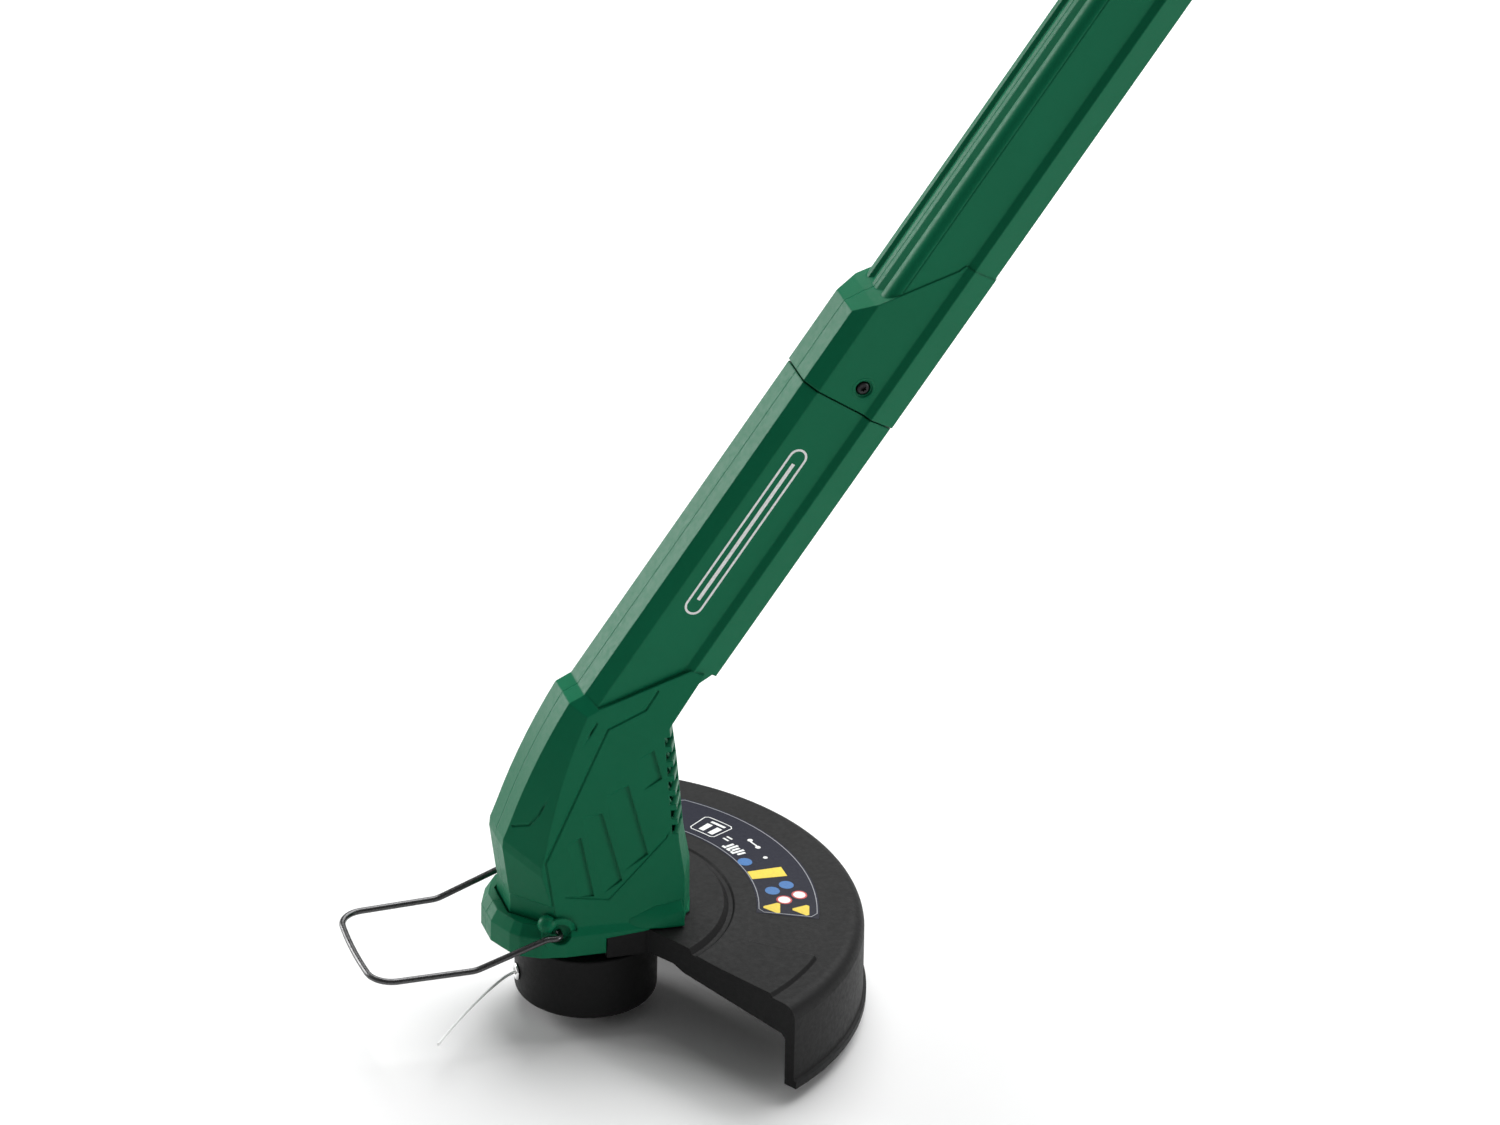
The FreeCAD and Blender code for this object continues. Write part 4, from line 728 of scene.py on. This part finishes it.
def make_screw_recess(materials):
    """Raised round lip that the joint screw's head sits in, on the collar's near side."""
    centre = screw_frames("joint_screw", (0, -1, 0))[0][0]
    outside = Vector((centre.x + LIP_PROBE * MM, -0.05, centre.z))
    collar = surface_of("upper_shell_near")
    hit, _normal, _index, _distance = collar.ray_cast(outside, Vector((0, 1, 0)))
    place = frame_at(Vector((centre.x, hit.y, centre.z)), (0, -1, 0))
    mesh = mesh_from("joint_screw_lip", lambda work: lathe(work, place, LIP_RINGS, 56))
    new_piece("joint_screw_lip", mesh, "frame", materials["green_plastic"])


# radius and distance from the head's axis, mm
EYELET_RINGS = [(1.5, 30.7), (2.75, 30.7), (2.75, 33.2), (3.6, 33.3), (3.95, 33.6), (4.1, 34.0), (3.95, 34.4),
                (3.5, 34.75), (2.7, 34.95), (2.0, 34.8), (1.65, 34.4), (1.5, 33.8)]


def make_eyelet(materials):
    """Rolled steel eyelet that the line leaves the cup through."""
    place = frame_at(Vector((0, 0, LINE_ROUTE[0][2] * MM)), (-1, 0, 0))
    mesh = mesh_from("line_eyelet_rolled", lambda work: lathe(work, place, EYELET_RINGS, 64))
    new_piece("line_eyelet_rolled", mesh, "head", materials["bright_steel"], ["line_eyelet"])


# ------------------------------------------------------------------ springs

COIL_STEPS = 40          # points along one turn
COIL_TURNS = 4
WIRE_SIDES = 10
END_RISE = 2.1           # rise of a close end turn, in wire radii


def coil(work, foot, axis, radius, wire, height):
    """Compression spring: wire centre rises height from foot along axis, with close end turns."""
    place = frame_at(foot, axis)
    end_rise = END_RISE * wire
    pitch = (height - 2 * end_rise) / (COIL_TURNS - 2)
    rings = []
    for i in range(COIL_TURNS * COIL_STEPS + 1):
        turn = i / COIL_STEPS
        in_ends = min(turn, 1) + max(turn - COIL_TURNS + 1, 0)
        in_middle = min(max(turn - 1, 0), COIL_TURNS - 2)
        rise = end_rise * in_ends + pitch * in_middle
        angle = 2 * math.pi * turn
        outward = Vector((math.cos(angle), math.sin(angle), 0))
        centre = outward * radius + Vector((0, 0, rise))
        ring = []
        for k in range(WIRE_SIDES):
            around = 2 * math.pi * k / WIRE_SIDES
            point = centre + (outward * math.cos(around) + Vector((0, 0, math.sin(around)))) * wire
            ring.append(work.verts.new(place @ (point * MM)))
        rings.append(ring)
    for low, high in zip(rings, rings[1:]):
        for k in range(WIRE_SIDES):
            j = (k + 1) % WIRE_SIDES
            work.faces.new((low[k], low[j], high[j], high[k]))
    work.faces.new(rings[0])
    work.faces.new(rings[-1])


# where the wire's centre starts and ends, coil and wire radius, and where each coil stands, mm
SPOOL_SPRING_Z = (22.7, 30.2)
SPOOL_SPRING_R = 8.0
SPOOL_SPRING_WIRE = 0.6
LOCK_S = 822.0
LOCK_SPRING_N = (120.2, 124.7)
LOCK_SPRING_R = 2.9
LOCK_SPRING_WIRE = 0.45
BRUSH_Z = 125.0
BRUSH_SPRING_X = (19.5, 22.35)
BRUSH_SPRING_R = 1.9
BRUSH_SPRING_WIRE = 0.28


def coil_piece(name, node, body, steel, coils):
    """Piece made of coils, each given as foot, axis, radius, wire and height."""
    def build(work):
        for foot, axis, radius, wire, height in coils:
            coil(work, foot, axis, radius, wire, height)
    return new_piece(name, mesh_from(name, build), body, steel, [node])


def make_springs(materials):
    """Real helices for the springs; the two that a joint presses each get a mesh of their own."""
    steel = materials["steel"]
    up = Vector((0, 0, 1))
    low, high = SPOOL_SPRING_Z
    spring = coil_piece("spool_spring_coil", "spool_spring", "head", steel,
                        [(up * low * MM, up, SPOOL_SPRING_R, SPOOL_SPRING_WIRE, high - low)])
    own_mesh(spring)
    low, high = LOCK_SPRING_N
    spring = coil_piece("lock_spring_coil", "lock_spring", "frame", steel,
                        [(on_shaft(LOCK_S, low), FRONT, LOCK_SPRING_R, LOCK_SPRING_WIRE, high - low)])
    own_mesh(spring)
    near, far = BRUSH_SPRING_X
    pair = []
    for side in (1, -1):
        foot = Vector((side * near, 0, BRUSH_Z)) * MM
        pair.append((foot, (side, 0, 0), BRUSH_SPRING_R, BRUSH_SPRING_WIRE, far - near))
    coil_piece("brush_spring_coils", "brush_springs", "frame", steel, pair)


# ------------------------------------------------------------------ housing ledges

# (x, z, distance out of the housing's side) of the sloped ledge over the flange's rear corner, mm
LEDGE_POINTS = [(11, 59.5, 0), (23, 64.5, 0), (36, 66.5, 0), (26, 60.5, 3.2), (36.4, 62.5, 3.2),
                (26, 54.6, 3.0), (36.4, 54.6, 3.0), (11, 54.6, 0.2)]
LEDGE_ROOT = 1.2         # how far a ledge reaches into the wall
SIDE_HALF = 31.0         # half width of the housing at x = 0, z = SIDE_Z
SIDE_Z = 60.0
SIDE_DX = 0.058          # widening towards the rear
SIDE_DZ = -0.1244        # narrowing upwards


def housing_side(x, z):
    """Half width of the housing's flat side at a height, in mm."""
    return SIDE_HALF + SIDE_DX * x + SIDE_DZ * (z - SIDE_Z)


def make_ledges(materials):
    def build(work):
        for side in (-1, 1):
            outer = [Vector((x, side * (housing_side(x, z) + out), z)) for x, z, out in LEDGE_POINTS]
            inner = [Vector((x, side * (housing_side(x, z) - LEDGE_ROOT), z)) for x, z, _out in LEDGE_POINTS]
            points = [work.verts.new(p * MM) for p in outer + inner]
            hull = bmesh.ops.convex_hull(work, input=points)
            bmesh.ops.delete(work, geom=list({*hull["geom_interior"], *hull["geom_unused"]}), context="VERTS")
        bmesh.ops.dissolve_degenerate(work, dist=1e-6, edges=work.edges)
    mesh = mesh_from("housing_ledges", build)
    new_piece("housing_ledges", mesh, "frame", materials["green_plastic"])


# ------------------------------------------------------------------ rounded pieces

# name, CAD node, voxel in mm, smoothing passes, material slot, body
ROUNDED = [("trigger_rounded", "trigger", 0.35, 4, "black_plastic", "trigger"),
           ("lock_off_button_rounded", "lock_off_button", 0.3, 3, "black_plastic", "lock_button"),
           ("grip_pad_rounded", "grip_pad", 0.45, 3, "soft_grip", "frame")]


def rounded_copy(materials, name, node, voxel_mm, passes, material_slot, body):
    """Stands for a CAD node with its sharp edges softened in the mesh."""
    mesh = nodes[node].data.copy()
    mesh.name = name
    piece = bpy.data.objects.new(name, mesh)
    bpy.context.scene.collection.objects.link(piece)
    weld = piece.modifiers.new("weld", "WELD")
    weld.merge_threshold = 1e-6
    remesh = piece.modifiers.new("remesh", "REMESH")
    remesh.mode = "VOXEL"
    remesh.voxel_size = voxel_mm * MM
    smooth = piece.modifiers.new("smooth", "SMOOTH")
    smooth.factor = 0.5
    smooth.iterations = passes
    depsgraph = bpy.context.evaluated_depsgraph_get()
    final = bpy.data.meshes.new_from_object(piece.evaluated_get(depsgraph))
    piece.modifiers.clear()
    piece.data = final
    final.name = name
    final.shade_smooth()
    final.materials.clear()
    final.materials.append(materials[material_slot])
    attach(piece, body)
    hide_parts(node)


# ------------------------------------------------------------------ assembly

materials = make_materials()
make_camera()
make_cutting_line(materials["nylon_line"])
make_floor()
make_lights()
dress_nodes(materials)
make_label_prints(materials)
make_shaft_mark(materials)
make_screws(materials)
make_screw_recess(materials)
make_eyelet(materials)
make_springs(materials)
make_ledges(materials)
for row in ROUNDED:
    rounded_copy(materials, *row)
